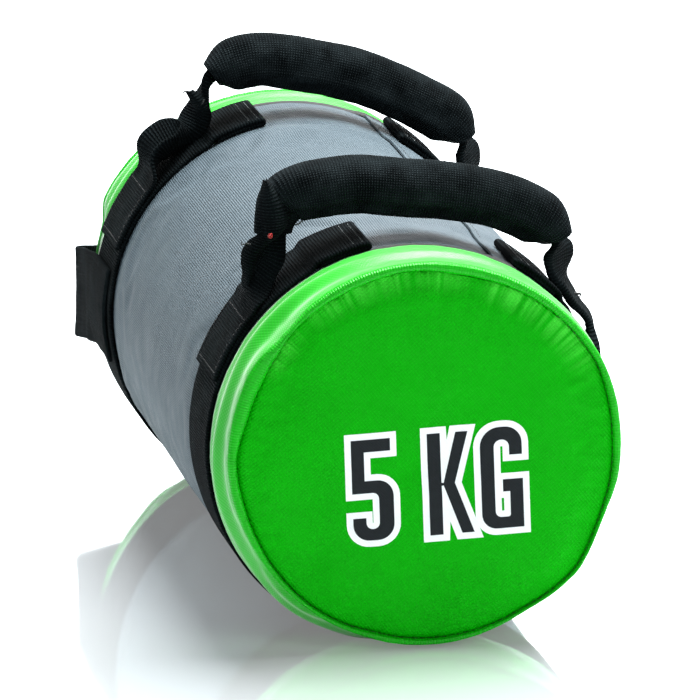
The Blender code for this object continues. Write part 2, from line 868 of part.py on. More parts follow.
def end_handle():
    """The loop behind the disc, and the short flexing stretch at each root."""
    loops, lengths = end_handle_loops()
    total = lengths[-1]
    flex = END_HANDLE_FLEX_LENGTH
    left = [loop for loop, along in zip(loops, lengths) if along <= flex]
    middle = [loop for loop, along in zip(loops, lengths) if flex < along < total - flex]
    right = [loop for loop, along in zip(loops, lengths) if along >= total - flex]
    left.append(pulled_back(middle[0], middle[1], -CLEARANCE))
    right.insert(0, pulled_back(middle[-1], middle[-2], -CLEARANCE))
    swept("end_handle_left_root", left, webbing_finish())
    swept("end_handle_strap", middle, webbing_finish())
    swept("end_handle_right_root", right, webbing_finish())


def pulled_back(loop, following, distance):
    """A copy of a loop moved along the strap by a distance."""
    moved = []
    for near, far in zip(loop, following):
        moved.append(near + (far - near).normalized() * distance)
    return moved


def liner_ring(y, offset):
    ring = []
    for angle in full_turn(HIDDEN_STEP):
        pressed = PRESS_DEPTH * press_share(angle)
        ring.append(to_world(outline(angle, offset - pressed), y))
    return ring


def inner_liner():
    """A soft liner closed at the front end, and its cap at the rear."""
    skin = -(TARPAULIN_THICKNESS + CLEARANCE)
    shoulder_y = SEAM_Y + LINER_END
    end_y = shoulder_y + LINER_SHOULDER
    outer = [
        liner_ring(-end_y, skin - LINER_SHOULDER),
        liner_ring(-shoulder_y, skin - LINER_SHOULDER * 0.3),
        liner_ring(-SEAM_Y + PRESS_BLEND, skin),
        liner_ring(SEAM_Y - PRESS_BLEND, skin),
        liner_ring(shoulder_y, skin - LINER_SHOULDER * 0.3),
    ]
    wall = LINER_THICKNESS
    inner = [
        liner_ring(shoulder_y, skin - LINER_SHOULDER * 0.3 - wall),
        liner_ring(SEAM_Y - PRESS_BLEND, skin - wall),
        liner_ring(-SEAM_Y + PRESS_BLEND, skin - wall),
        liner_ring(-shoulder_y, skin - LINER_SHOULDER * 0.3 - wall),
        liner_ring(-end_y + wall, skin - LINER_SHOULDER - wall),
    ]
    swept("inner_liner", outer + inner, lining())
    cap = [
        liner_ring(shoulder_y + CLEARANCE, skin - LINER_SHOULDER * 0.4),
        liner_ring(end_y, skin - LINER_SHOULDER),
    ]
    swept("liner_cap", cap, lining())


def wadding():
    skin = -(TARPAULIN_THICKNESS + CLEARANCE * 2 + LINER_THICKNESS)
    straight = SEAM_Y - PRESS_BLEND
    bore = POUCH_RADIUS + CLEARANCE
    outer = [liner_ring(-straight, skin), liner_ring(straight, skin)]
    inner = [axis_ring(-straight, bore), axis_ring(straight, bore)]
    sleeve_solid("wadding_sleeve", outer, inner, lining())
    pad_start = straight + CLEARANCE
    pad_end = SEAM_Y + LINER_END - CLEARANCE
    tuck = skin - LINER_SHOULDER * 0.3 - CLEARANCE
    for name, end in (("front_wadding_pad", -1.0), ("rear_wadding_pad", 1.0)):
        loops = [liner_ring(end * pad_start, tuck), liner_ring(end * pad_end, tuck)]
        swept(name, loops, lining())


def axis_ring(y, radius):
    ring = []
    for angle in full_turn(HIDDEN_STEP):
        side = math.radians(angle)
        ring.append(Vector((radius * math.cos(side), y, AXIS_HEIGHT + radius * math.sin(side))))
    return ring


def sand_pouches():
    """Two sand-filled pouches end to end, with rounded edges."""
    length = SEAM_Y - PRESS_BLEND - CLEARANCE * 2
    edge = POUCH_EDGE_RADIUS
    for name, end in (("front_sand_pouch", -1.0), ("rear_sand_pouch", 1.0)):
        loops = []
        for turn in (0.0, 45.0, 90.0):
            inset = edge * (1.0 - math.sin(math.radians(turn)))
            y = CLEARANCE + edge * (1.0 - math.cos(math.radians(turn)))
            loops.append(axis_ring(end * y, POUCH_RADIUS - inset))
        for turn in (90.0, 45.0, 0.0):
            inset = edge * (1.0 - math.sin(math.radians(turn)))
            y = length - edge * (1.0 - math.cos(math.radians(turn)))
            loops.append(axis_ring(end * y, POUCH_RADIUS - inset))
        swept(name, loops, finish("sand_pouch", SAND, 0.9))


def build():
    clear_scene()
    body_panel()
    body_lap_strip()
    shell("front_side_band", band_rows(-1.0), green_tarpaulin())
    shell("rear_side_band", band_rows(1.0), green_tarpaulin())
    rim_seam("front_rim_seam", -1.0)
    rim_seam("rear_rim_seam", 1.0)
    end_disc("front_end_disc", -1.0)
    end_disc("rear_end_disc", 1.0)
    hoop("front_hoop", -1.0)
    hoop("rear_hoop", 1.0)
    for prefix, end in (("front", -1.0), ("rear", 1.0)):
        anchor(prefix + "_left_anchor", end, 1.0)
        anchor(prefix + "_right_anchor", end, -1.0)
    grab_handle("front", -1.0, FRONT_LEFT_RISER_SHARES, FRONT_GRIP_SHARES, FRONT_RIGHT_RISER_SHARES)
    grab_handle("rear", 1.0, REAR_LEFT_RISER_SHARES, REAR_GRIP_SHARES, REAR_RIGHT_RISER_SHARES)
    end_handle_anchor("end_handle_left_anchor", 1.0)
    end_handle_anchor("end_handle_right_anchor", -1.0)
    end_handle()
    inner_liner()
    wadding()
    sand_pouches()


build()
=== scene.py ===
"""Looks of the sandbag trainer: coated tarpaulin, webbing hoops and handles, threads and a weight mark.

Lengths are metres. Angles round the bag are degrees from +X towards +Z, seen from the marked end.
"""
import math

import bmesh
import bpy
import numpy as np
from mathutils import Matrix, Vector, noise
from mathutils.bvhtree import BVHTree
from mathutils.geometry import delaunay_2d_cdt


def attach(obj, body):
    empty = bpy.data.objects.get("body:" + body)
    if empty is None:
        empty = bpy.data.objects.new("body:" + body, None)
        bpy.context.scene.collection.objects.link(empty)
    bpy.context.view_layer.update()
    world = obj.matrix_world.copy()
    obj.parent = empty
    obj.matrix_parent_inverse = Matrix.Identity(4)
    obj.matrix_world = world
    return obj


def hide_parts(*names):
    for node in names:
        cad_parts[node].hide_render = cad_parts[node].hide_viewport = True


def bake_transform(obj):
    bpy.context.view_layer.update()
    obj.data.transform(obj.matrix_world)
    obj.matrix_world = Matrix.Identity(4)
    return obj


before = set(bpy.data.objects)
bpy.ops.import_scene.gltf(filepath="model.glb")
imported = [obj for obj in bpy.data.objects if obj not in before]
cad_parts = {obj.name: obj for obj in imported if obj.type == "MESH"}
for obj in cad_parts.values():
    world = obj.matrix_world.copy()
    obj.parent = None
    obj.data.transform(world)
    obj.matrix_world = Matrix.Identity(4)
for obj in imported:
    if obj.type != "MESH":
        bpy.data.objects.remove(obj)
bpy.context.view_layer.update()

# Sizes, as in the part's source
BODY_RADIUS = 0.100
AXIS_HEIGHT = 0.096
FLOOR_CORNER = 0.040
PRESSED_ANGLE = 18.0
FREE_ANGLE = 42.0
SEAM_Y = 0.1735
RIM_Y = 0.211
RIM_RADIUS = 0.0975
RIM_DEPTH = 0.0042
DISC_CROWN = 0.0030
DISC_RECESS = 0.0016
GAP = 0.0003
ROLL = -10.0
LAP_LEFT = 65.0
LAP_RIGHT = 40.0
LAP_THICK = 0.0010
WIDTH = 0.050
THICK = 0.0022
STACK = GAP + THICK
PRESS_BLEND = 0.012
HOOP_Y = SEAM_Y - WIDTH / 2
HOOP_END = 21.0
HOOP_FOLD = 0.026
ROOT_ANGLE = 59.5
ANCHOR_LENGTH = 0.037
ROOT_RADIUS = BODY_RADIUS + STACK + GAP + THICK / 2
GRIP_RADIUS = 0.124
GRIP_THICK = 0.029
MOUTH_THICK = 0.0135
TAPER = 0.014
CREASE = 0.0052
END_ANGLE = 101.0
END_ANCHOR = 0.042
END_REACH = 0.0275
END_LEAN = 0.0022
END_CORNER = 0.014
END_BELLY = 0.0040
END_DROOP = 0.0085

# Sizes that only the looks use
LEVEL = np.array([0.0, 1.0, 0.0])
CLOTH_FRAMES = 20
RAY_HEIGHT = 0.012
TUCK_DEPTH = 0.0019
SEWN_HALF = 0.0205
PRINT_CELL = 1.6
PRINT_HEIGHT = 85.0

# Routes: angle from the bag's top, share of the grip's radius, fold and twist. The front left strap is folded
# like a roof and the rear left one like a trough. A right strap's fold is the half width between its tucked
# edges, in millimetres.
FRONT_LEFT = [
    (56.5, .853, 4.0, 0.0), (53.0, .876, 32.0, 0.0), (49.5, .890, 46.0, 4.0), (46.0, .910, 62.0, 14.0),
    (43.4, .946, 80.0, 30.0),
]
FRONT_GRIP = [
    (41.6, .985, 84.0, 40.0), (39.0, 1.035, 82.0, 30.0), (35.6, 1.075, 82.0, 12.0), (30.0, 1.066, 82.0, 14.0),
    (20.5, 1.036, 82.0, 28.0), (10.0, 1.000, 82.0, 44.0), (-5.4, 1.001, 82.0, 62.0),
    (-16.3, 1.016, 82.0, 70.0), (-23.9, 1.022, 82.0, 72.0), (-29.3, 1.000, 82.0, 68.0),
]
FRONT_RIGHT = [
    (-32.0, .968, 12.5, 36.0), (-35.0, .918, 11.5, 32.0), (-38.5, .888, 10.5, 14.0),
    (-44.0, .874, 11.0, 10.0), (-50.5, .884, 14.0, 10.0), (-56.0, .862, 22.0, 6.0),
]
REAR_LEFT = [
    (56.5, .855, -4.0, 0.0), (52.6, .885, -30.0, 0.0), (49.0, .890, -34.0, 0.0), (45.0, .878, -38.0, 0.0),
    (41.0, .872, -58.0, -14.0), (37.2, .908, -82.0, -42.0), (33.6, .972, -88.0, -86.0),
]
REAR_GRIP = [
    (29.5, 1.044, 82.0, 62.0), (22.5, 1.056, 82.0, 78.0), (15.5, 1.040, 82.0, 84.0),
    (5.0, 1.006, 82.0, 86.0), (-8.0, .990, 82.0, 84.0), (-21.0, .988, 82.0, 78.0),
    (-31.0, 1.004, 82.0, 78.0), (-37.0, .994, 82.0, 78.0),
]
REAR_RIGHT = [
    (-40.5, .970, 13.5, 30.0), (-44.5, .938, 13.5, 28.0), (-48.5, .885, 11.0, 6.0),
    (-53.0, .868, 14.0, 0.0), (-57.0, .856, 22.0, 0.0),
]
# Where a strap is gathered: start from the top, span, drawn share, and where and how fast it ends
GATHERS = {
    "front_left": (56.0, -9.0, 0.44, 0.0, 9.0), "front_right": (-57.5, 6.0, 0.44, -42.0, -6.0),
    "rear_left": (47.0, -9.0, 0.34, 0.0, 9.0), "rear_right": (-58.0, 9.0, 0.15, 0.0, -9.0),
}


# Small helpers

def smooth(value):
    value = np.clip(value, 0.0, 1.0)
    return value * value * (3.0 - 2.0 * value)


def unit(vectors):
    return vectors / np.maximum(np.linalg.norm(vectors, axis=-1, keepdims=True), 1e-12)


def lumps(points, size, seed):
    """Soft noise between about -1 and 1 with lumps of the given size."""
    shift = np.array([seed * 7.31, seed * 3.17, seed * 5.73])
    flat = np.asarray(points).reshape(-1, 3) / size + shift
    values = [noise.noise(Vector(point)) for point in flat]
    return np.array(values).reshape(np.shape(points)[:-1]) * 1.6


def floor_turn(angle):
    return np.abs((np.asarray(angle) + 270.0) % 360.0 - 180.0)


def press_share(angle):
    return 1.0 - smooth((floor_turn(angle) - PRESSED_ANGLE) / (FREE_ANGLE - PRESSED_ANGLE))


def lap_share(angle):
    turn = (np.asarray(angle) + 180.0) % 360.0 - 180.0
    return 1.0 - smooth((np.maximum(LAP_RIGHT - turn, turn - LAP_LEFT) - 0.8) / 4.0)


def strap_low(angle):
    return GAP + (LAP_THICK + GAP) * lap_share(angle) - STACK * press_share(angle)


def rolled(from_top):
    return 90.0 + from_top + ROLL


def arc(length):
    return math.degrees(length / (BODY_RADIUS + STACK))


def outline(angle, offset):
    """Points of the bag's outline, flat on the floor, and their outward normals: x, z, nx, nz."""
    angle, offset = np.broadcast_arrays(np.asarray(angle, float), np.asarray(offset, float))
    side = np.radians(angle)
    ax, az = np.cos(side), np.sin(side)
    drop = AXIS_HEIGHT - FLOOR_CORNER
    cx = math.sqrt((BODY_RADIUS - FLOOR_CORNER) ** 2 - drop ** 2)
    turn = floor_turn(angle)
    flat = turn <= math.degrees(math.atan2(cx, AXIS_HEIGHT))
    corner = (turn < math.degrees(math.atan2(cx, drop))) & ~flat
    x = ax * (BODY_RADIUS + offset)
    z = AXIS_HEIGHT + az * (BODY_RADIUS + offset)
    nx, nz = ax.copy(), az.copy()
    x = np.where(flat, AXIS_HEIGHT * ax / np.where(flat, -az, 1.0), x)
    z = np.where(flat, -offset, z)
    nx, nz = np.where(flat, 0.0, nx), np.where(flat, -1.0, nz)
    bx = np.copysign(cx, ax)
    reach = ax * bx - az * drop
    half = np.sqrt(np.maximum(reach ** 2 - bx ** 2 - drop ** 2 + FLOOR_CORNER ** 2, 0.0))
    px, pz = ax * (reach + half), AXIS_HEIGHT + az * (reach + half)
    dx, dz = (px - bx) / FLOOR_CORNER, (pz - FLOOR_CORNER) / FLOOR_CORNER
    x = np.where(corner, px + dx * offset, x)
    z = np.where(corner, pz + dz * offset, z)
    nx, nz = np.where(corner, dx, nx), np.where(corner, dz, nz)
    return x, z, nx, nz


def on_outline(angle, y, offset):
    x, z, nx, nz = outline(angle, offset)
    y = np.broadcast_to(y, x.shape)
    return np.stack([x, y, z], -1), np.stack([nx, np.zeros_like(nx), nz], -1)


def hoop_pressed(angle, y):
    away = np.abs(np.abs(y) - HOOP_Y) - WIDTH / 2
    return STACK * press_share(angle) * (1.0 - smooth((away - 0.0004) / PRESS_BLEND))


# Meshes

def new_mesh(name, vertices, faces, uv=None):
    mesh = bpy.data.meshes.new(name)
    mesh.from_pydata(vertices, [], faces)
    layer = mesh.uv_layers.new(name="UVMap")
    if uv is not None:
        layer.data.foreach_set("uv", np.asarray(uv, np.float32).ravel())
    mesh.shade_smooth()
    return mesh


def grid_mesh(name, points, s, t, closed_u=False, closed_v=False, caps=False, flip=False):
    """A mesh through a grid of points, with a UV map of distances in metres."""
    nu, nv = points.shape[:2]
    row, col = np.meshgrid(
        np.arange(nu if closed_u else nu - 1), np.arange(nv if closed_v else nv - 1), indexing="ij")
    row2, col2 = (row + 1) % nu, (col + 1) % nv
    faces = np.stack([row * nv + col, row2 * nv + col, row2 * nv + col2, row * nv + col2], -1).reshape(-1, 4)
    grid = np.stack(np.broadcast_arrays(s, t), -1)
    uv = np.stack([grid[row, col], grid[row + 1, col], grid[row + 1, col + 1], grid[row, col + 1]], -2)
    uv = uv.reshape(-1, 4, 2)
    if flip:
        faces, uv = faces[:, ::-1], uv[:, ::-1]
    polygons = faces.tolist()
    corners = uv.reshape(-1, 2)
    if caps:
        polygons += [list(range(nv))[::-1], list(range((nu - 1) * nv, nu * nv))]
        corners = np.concatenate([corners, np.zeros((2 * nv, 2))])
    return new_mesh(name, points.reshape(-1, 3).tolist(), polygons, corners)


def add(name, mesh, material, body, slot, *nodes):
    mesh.materials.append(material)
    piece = bpy.data.objects.new(name, mesh)
    bpy.context.scene.collection.objects.link(piece)
    if nodes:
        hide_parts(*nodes)
    if body:
        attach(piece, body)
    return piece


def add_fine(name, mesh, material, body, slot, node):
    """A piece with a finer surface."""
    piece = add(name, mesh, material, body, slot, node)
    finer = piece.modifiers.new("Finer", "SUBSURF")
    finer.levels = finer.render_levels = 1
    return piece


def coordinates(mesh):
    flat = np.zeros(len(mesh.vertices) * 3)
    mesh.vertices.foreach_get("co", flat)
    return flat.reshape(-1, 3)


def set_coordinates(mesh, points):
    mesh.vertices.foreach_set("co", np.asarray(points).ravel())
    mesh.update()


def rest_on_floor(mesh):
    points = coordinates(mesh)
    points[:, 2] = np.maximum(points[:, 2], 0.0)
    set_coordinates(mesh, points)


def tree_of(mesh):
    polygons = [list(polygon.vertices) for polygon in mesh.polygons]
    return BVHTree.FromPolygons([Vector(point) for point in coordinates(mesh)], polygons)


def face_towards(mesh, index, way):
    """Flips a mesh where its polygon of this index faces against a direction."""
    if mesh.polygons[index].normal.dot(Vector(way)) < 0:
        mesh.flip_normals()


def face_out(mesh):
    """Turns an open tube's faces away from the bag's axis."""
    index = len(mesh.polygons) // 3
    centre = mesh.polygons[index].center
    face_towards(mesh, index, (centre.x, 0.0, centre.z - AXIS_HEIGHT))


def outward(mesh):
    shape = bmesh.new()
    shape.from_mesh(mesh)
    bmesh.ops.recalc_face_normals(shape, faces=shape.faces)
    shape.to_mesh(mesh)
    shape.free()


def round_trip(values):
    """Values over a strap's upper side and back under it."""
    return np.concatenate([values, values[::-1], values[:1]])


def lengths_of(line):
    """The length from a line's start to each of its points."""
    return np.concatenate([[0.0], np.cumsum(np.linalg.norm(np.diff(line[:, :3], axis=0), axis=1))])


def spaced(fine, spacing):
    lengths = lengths_of(fine)
    count = max(2, round(lengths[-1] / spacing)) + 1
    even = np.linspace(0.0, lengths[-1], count)
    return np.stack([np.interp(even, lengths, column) for column in fine.T], -1)


def catmull(rows, parts=8):
    """A smooth line through rows of numbers."""
    rows = np.array(rows, float)
    padded_rows = np.concatenate([rows[:1], rows, rows[-1:]])
    fine = []
    for step in range(len(rows) - 1):
        p0, p1, p2, p3 = padded_rows[step:step + 4]
        for part in range(parts):
            t = part / parts
            fine.append(0.5 * (2 * p1 + (p2 - p0) * t + (2 * p0 - 5 * p1 + 4 * p2 - p3) * t * t
                               + (3 * p1 - p0 - 3 * p2 + p3) * t ** 3))
    fine.append(rows[-1])
    return np.array(fine)


def relax(mesh, held, pressure, growth, cap, stiff, bend):
    """Lets a stuffed piece swell and wrinkle as cloth; held vertices stay where they are."""
    start = coordinates(mesh)
    piece = bpy.data.objects.new("relaxing", mesh)
    bpy.context.scene.collection.objects.link(piece)
    group = piece.vertex_groups.new(name="held")
    held = np.clip(np.round(held.ravel() * 10.0) / 10.0, 0.0, 1.0)
    for value in np.unique(held):
        if value > 0:
            group.add(np.nonzero(held == value)[0].tolist(), float(value), "REPLACE")
    cloth = piece.modifiers.new("Cloth", "CLOTH")
    settings = cloth.settings
    settings.quality = 6
    settings.mass = 0.2
    settings.tension_stiffness = settings.compression_stiffness = stiff
    settings.shear_stiffness = stiff * 0.4
    settings.bending_stiffness = bend
    settings.use_pressure = True
    settings.uniform_pressure_force = pressure
    settings.shrink_min = -growth
    settings.vertex_group_mass = "held"
    settings.effector_weights.gravity = 0.0
    cloth.collision_settings.use_collision = False
    cloth.point_cache.frame_start = 1
    cloth.point_cache.frame_end = CLOTH_FRAMES
    scene = bpy.context.scene
    for step in range(1, CLOTH_FRAMES + 1):
        scene.frame_set(step)
    settled = piece.evaluated_get(bpy.context.evaluated_depsgraph_get()).to_mesh()
    moved = coordinates(settled) - start
    piece.modifiers.remove(cloth)
    scene.frame_set(1)
    far = np.linalg.norm(moved, axis=1, keepdims=True)
    set_coordinates(mesh, start + moved * np.minimum(1.0, cap / np.maximum(far, 1e-9)))
    bpy.data.objects.remove(piece)


# Materials

class Nodes:
    """A small builder for the nodes of a material or of the world."""

    def __init__(self, tree):
        self.tree = tree

    def put(self, socket, value):
        if isinstance(value, bpy.types.NodeSocket):
            self.tree.links.new(value, socket)
        else:
            socket.default_value = (*value, 1.0) if isinstance(value, tuple) else value

    def node(self, kind, inputs, output=0, operation=None, data_type=None, interpolation=None):
        node = self.tree.nodes.new("ShaderNode" + kind)
        if operation:
            node.operation = operation
        if data_type:
            node.data_type = data_type
        if interpolation:
            node.interpolation_type = interpolation
        for key, value in inputs.items():
            self.put(node.inputs[key], value)
        return node.outputs[output]

    def math(self, operation, *values):
        return self.node("Math", dict(enumerate(values)), operation=operation)

    def ramp(self, value, low, high, first=0.0, last=1.0, interpolation=None):
        inputs = {"Value": value, "From Min": low, "From Max": high, "To Min": first, "To Max": last}
        return self.node("MapRange", inputs, interpolation=interpolation)

    def mix(self, share, first, last, data_type="RGBA"):
        return self.node("Mix", {"Factor": share, "A": first, "B": last}, "Result", data_type=data_type)


class Fabric(Nodes):
    """The nodes of one procedural material, on a UV map in metres."""

    def __init__(self, name, colour, roughness, specular):
        self.material = bpy.data.materials.new(name)
        self.material.use_nodes = True
        super().__init__(self.material.node_tree)
        self.shader = self.tree.nodes["Principled BSDF"].inputs
        self.shader["Base Color"].default_value = (*colour, 1.0)
        self.shader["Roughness"].default_value = roughness
        self.shader["Specular IOR Level"].default_value = specular
        self.uv = self.node("UVMap", {})
        self.s = self.node("SeparateXYZ", {0: self.uv}, "X")
        self.t = self.node("SeparateXYZ", {0: self.uv}, "Y")
        self.place = self.node("TexCoord", {}, "Object")

    def ribs(self, place, pitch):
        """A wave from 0 to 1 with the given pitch."""
        turn = self.math("MULTIPLY", place, 2.0 * math.pi / pitch)
        return self.math("MULTIPLY_ADD", self.math("SINE", turn), 0.5, 0.5)

    def noise(self, scale, detail=3.0, vector=None):
        vector = self.place if vector is None else vector
        return self.node("TexNoise", {"Scale": scale, "Detail": detail, "Vector": vector}, "Fac")

    def colours(self, value, first, last):
        self.put(self.shader["Base Color"], self.mix(value, first, last))

    def bump(self, height, distance):
        inputs = {"Strength": 1.0, "Distance": distance, "Height": height}
        self.put(self.shader["Normal"], self.node("Bump", inputs))

    def painted_pucker_highlights(self, inner, outer, pitch):
        """Where a painted highlight runs in from the upper edge of a round panel: pale marks where light from
        above catches the puckers.
        """
        way = self.node("VectorMath", {0: self.uv}, operation="NORMALIZE")
        # Paler only near the upper edge, where light from above falls: this is painted highlight, not a
        # colour of the cloth.
        share = 1.0
        for value, low, high in (
            (self.node("VectorMath", {0: self.uv}, "Value", operation="LENGTH"), inner, outer),
            (self.node("SeparateXYZ", {0: way}, "Y"), 0.30, 0.72),
            (self.noise(outer / pitch, 2.0, way), 0.30, 0.62), (self.noise(2.6, 2.0, way), 0.38, 0.62),
        ):
            share = self.math("MULTIPLY", self.ramp(value, low, high, interpolation="SMOOTHSTEP"), share)
        return share


def tarpaulin(name, dark, light, roughness, pitch, cross, depth, diagonal, specular, even, stripe=0.16):
    """PVC-coated scrim: fine ribs with fainter cross threads under a smooth coat."""
    nodes = Fabric(name, light, roughness, specular)
    cos, sin = math.cos(math.radians(diagonal)), math.sin(math.radians(diagonal))
    lengthwise = nodes.math("MULTIPLY_ADD", nodes.s, cos, nodes.math("MULTIPLY", nodes.t, sin))
    over = nodes.math("MULTIPLY_ADD", nodes.t, cos, nodes.math("MULTIPLY", nodes.s, -sin))
    weave = nodes.math("MULTIPLY_ADD", nodes.ribs(over, pitch), cross, nodes.ribs(lengthwise, pitch))
    nodes.bump(nodes.math("MULTIPLY_ADD", nodes.noise(900.0, 2.0), 0.35, weave), depth)
    tone = nodes.math("MULTIPLY_ADD", weave, -stripe, nodes.ramp(nodes.noise(34.0, 4.0), 0.3, 0.7, even, 1.0))
    nodes.colours(tone, dark, light)
    gloss = nodes.ramp(nodes.noise(60.0, 3.0), 0.3, 0.7, roughness * 0.88, roughness * 1.15)
    nodes.put(nodes.shader["Roughness"], gloss)
    return nodes


def woven(name, dark, light, roughness, pitch, rows, depth, sheen=0.0, dots=0.0):
    """Webbing or woven cloth: ribs across its length, broken into dots by the lengthwise yarns."""
    nodes = Fabric(name, light, roughness, 0.025)
    wander = nodes.math("MULTIPLY", nodes.noise(180.0, 2.0), pitch * 0.5)
    rib = nodes.ribs(nodes.math("ADD", nodes.s, wander), pitch)
    yarns = nodes.math("MULTIPLY_ADD", nodes.ribs(nodes.t, rows), dots, 1.0 - dots)
    dotted = nodes.math("MULTIPLY", rib, yarns)
    fuzz = nodes.noise(1500.0, 3.0)
    nodes.bump(nodes.math("MULTIPLY_ADD", fuzz, 0.3, dotted), depth)
    worn = nodes.ramp(nodes.noise(70.0, 4.0), 0.35, 0.75, 0.0, 0.35)
    sharp = nodes.math("MULTIPLY", nodes.math("POWER", dotted, 2.2), nodes.ramp(fuzz, 0.3, 0.7, 0.3, 1.0))
    nodes.colours(nodes.math("MULTIPLY_ADD", sharp, 0.85, worn), dark, light)
    nodes.shader["Sheen Weight"].default_value = sheen
    nodes.shader["Sheen Roughness"].default_value = 0.4
    return nodes.material


def thread(name, colour, roughness=0.6):
    nodes = Fabric(name, colour, roughness, 0.4)
    twist = nodes.ribs(nodes.math("ADD", nodes.s, nodes.t), 0.0006)
    nodes.bump(twist, 0.00008)
    nodes.colours(twist, tuple(channel * 0.6 for channel in colour), colour)
    return nodes.material


def printed(name, dark, light):
    """Ink on the coated fabric, with the weave showing through."""
    nodes = Fabric(name, light, 0.5, 0.1)
    weft = nodes.ribs(nodes.math("SUBTRACT", nodes.s, nodes.t), 0.0012)
    weave = nodes.math("MULTIPLY_ADD", weft, 0.6, nodes.ribs(nodes.math("ADD", nodes.s, nodes.t), 0.0016))
    nodes.bump(weave, 0.00006)
    nodes.colours(nodes.math("MULTIPLY_ADD", weave, 0.5, nodes.noise(400.0, 3.0)), dark, light)
    return nodes.material


GREY_CLOTH = tarpaulin(
    "grey_tarpaulin_cloth", dark=(0.020, 0.034, 0.044), light=(0.100, 0.137, 0.159), roughness=0.55,
    pitch=0.0012, cross=0.45, depth=0.00026, diagonal=0.0, specular=0.19, even=0.9, stripe=0.50).material
DISC_NODES = tarpaulin(
    "green_disc_cloth", dark=(0.000, 0.255, 0.000), light=(0.001, 0.385, 0.001), roughness=0.50, pitch=0.0014,
    cross=0.8, depth=0.00016, diagonal=38.0, specular=0.06, even=0.75)
# The paler green near the disc's upper edge is a painted highlight of the puckers and weave in light from
# above.
DISC_NODES.colours(
    DISC_NODES.painted_pucker_highlights(inner=0.080, outer=0.094, pitch=0.0032),
    DISC_NODES.shader["Base Color"].links[0].from_socket, (0.055, 0.62, 0.040))
DISC_CLOTH = DISC_NODES.material
BAND_NODES = tarpaulin(
    "green_band_cloth", dark=(0.001, 0.30, 0.001), light=(0.004, 0.455, 0.004), roughness=0.37, pitch=0.0014,
    cross=0.8, depth=0.00007, diagonal=45.0, specular=0.24, even=0.7)
for gloss, share in (
    ("Coat Weight", 0.10), ("Coat Roughness", 0.30), ("Sheen Weight", 0.60), ("Sheen Roughness", 0.40),
):
    BAND_NODES.shader[gloss].default_value = share
BAND_CLOTH = BAND_NODES.material
RIM_CLOTH = tarpaulin(
    "green_rim_cloth", dark=(0.000, 0.235, 0.000), light=(0.002, 0.44, 0.002), roughness=0.40, pitch=0.0014,
    cross=0.5, depth=0.00018, diagonal=0.0, specular=0.2, even=0.6).material
WEBBING = woven(
    "webbing_weave", dark=(0.0006, 0.0012, 0.0014), light=(0.0105, 0.0160, 0.0180), roughness=0.90,
    pitch=0.00155, rows=0.0024, depth=0.00070, sheen=0.004, dots=0.35)
SLEEVE = woven(
    "sleeve_weave", dark=(0.0008, 0.0016, 0.0020), light=(0.0240, 0.0340, 0.0375), roughness=0.85,
    pitch=0.00135, rows=0.00135, depth=0.00060, sheen=0.004, dots=0.75)
BLACK_THREAD = thread("black_thread", (0.02, 0.022, 0.022))
GREEN_THREAD = thread("green_thread", (0.002, 0.075, 0.002))
PALE_THREAD = thread("pale_thread", (0.22, 0.25, 0.25))
RED_THREAD = thread("red_thread", (0.45, 0.01, 0.01))
BLACK_PRINT = printed("black_print_ink", (0.003, 0.004, 0.005), (0.010, 0.013, 0.015))
FOAM = thread("grip_foam_skin", (0.03, 0.03, 0.032), 0.9)
WHITE_PRINT = printed("white_print_ink", (0.70, 0.74, 0.76), (0.86, 0.89, 0.90))
LINING = woven("lining_weave", (0.45, 0.42, 0.35), (0.70, 0.66, 0.57), 0.9, 0.0012, 0.0012, 0.0001)


# Bag body

AROUND = 216
TURNS = np.arange(AROUND) * 360.0 / AROUND
AROUND_S = np.radians(np.arange(AROUND + 1) * 360.0 / AROUND)[:, None] * BODY_RADIUS
BODY_EDGE = SEAM_Y - GAP / 2
# Folds of the body: from one angle and Y to another, with a width and a depth
BODY_FOLDS = (
    (103.0, -0.118, 118.0, -0.070, 0.0040, 0.0016), (126.0, -0.119, 134.0, -0.085, 0.0035, 0.0013),
    (150.0, -0.120, 158.0, -0.092, 0.0040, 0.0012), (104.0, 0.119, 112.0, 0.078, 0.0045, 0.0020),
    (92.0, 0.121, 74.0, 0.112, 0.0038, 0.0018), (120.0, 0.119, 126.0, 0.088, 0.0042, 0.0014),
    (142.0, 0.119, 139.0, 0.096, 0.0038, 0.0013), (166.0, 0.120, 170.0, 0.094, 0.0040, 0.0012),
    (100.0, -0.164, 86.0, -0.168, 0.0030, 0.0014), (98.0, -0.140, 84.0, -0.146, 0.0034, 0.0012),
    (100.0, 0.160, 84.0, 0.166, 0.0032, 0.0015), (62.0, 0.150, 78.0, 0.160, 0.0032, 0.0012),
    (56.0, -0.118, 50.0, -0.084, 0.0040, 0.0014), (22.0, -0.119, 12.0, -0.090, 0.0042, 0.0014),
    (30.0, 0.119, 40.0, 0.090, 0.0040, 0.0014), (200.0, 0.119, 204.0, 0.094, 0.0042, 0.0013),
    (190.0, -0.120, 196.0, -0.096, 0.0042, 0.0012), (340.0, 0.119, 346.0, 0.094, 0.0042, 0.0013),
    (350.0, -0.119, 340.0, -0.092, 0.0042, 0.0013),
)


def crease(angle, y, a0, y0, a1, y1, width, depth):
    """A fold from one place to another on the bag: how far in it goes at each point."""
    scale = math.radians(BODY_RADIUS)
    px, py = (angle - a0) * scale, y - y0
    dx, dy = (a1 - a0) * scale, y1 - y0
    length = dx * dx + dy * dy
    share = np.clip((px * dx + py * dy) / length, 0.0, 1.0)
    away = np.hypot(px - share * dx, py - share * dy) / width
    fade = np.sin(np.pi * (0.08 + 0.84 * share))
    return -depth * fade * (np.exp(-away ** 2) - 0.45 * np.exp(-(away / 2.2) ** 2))


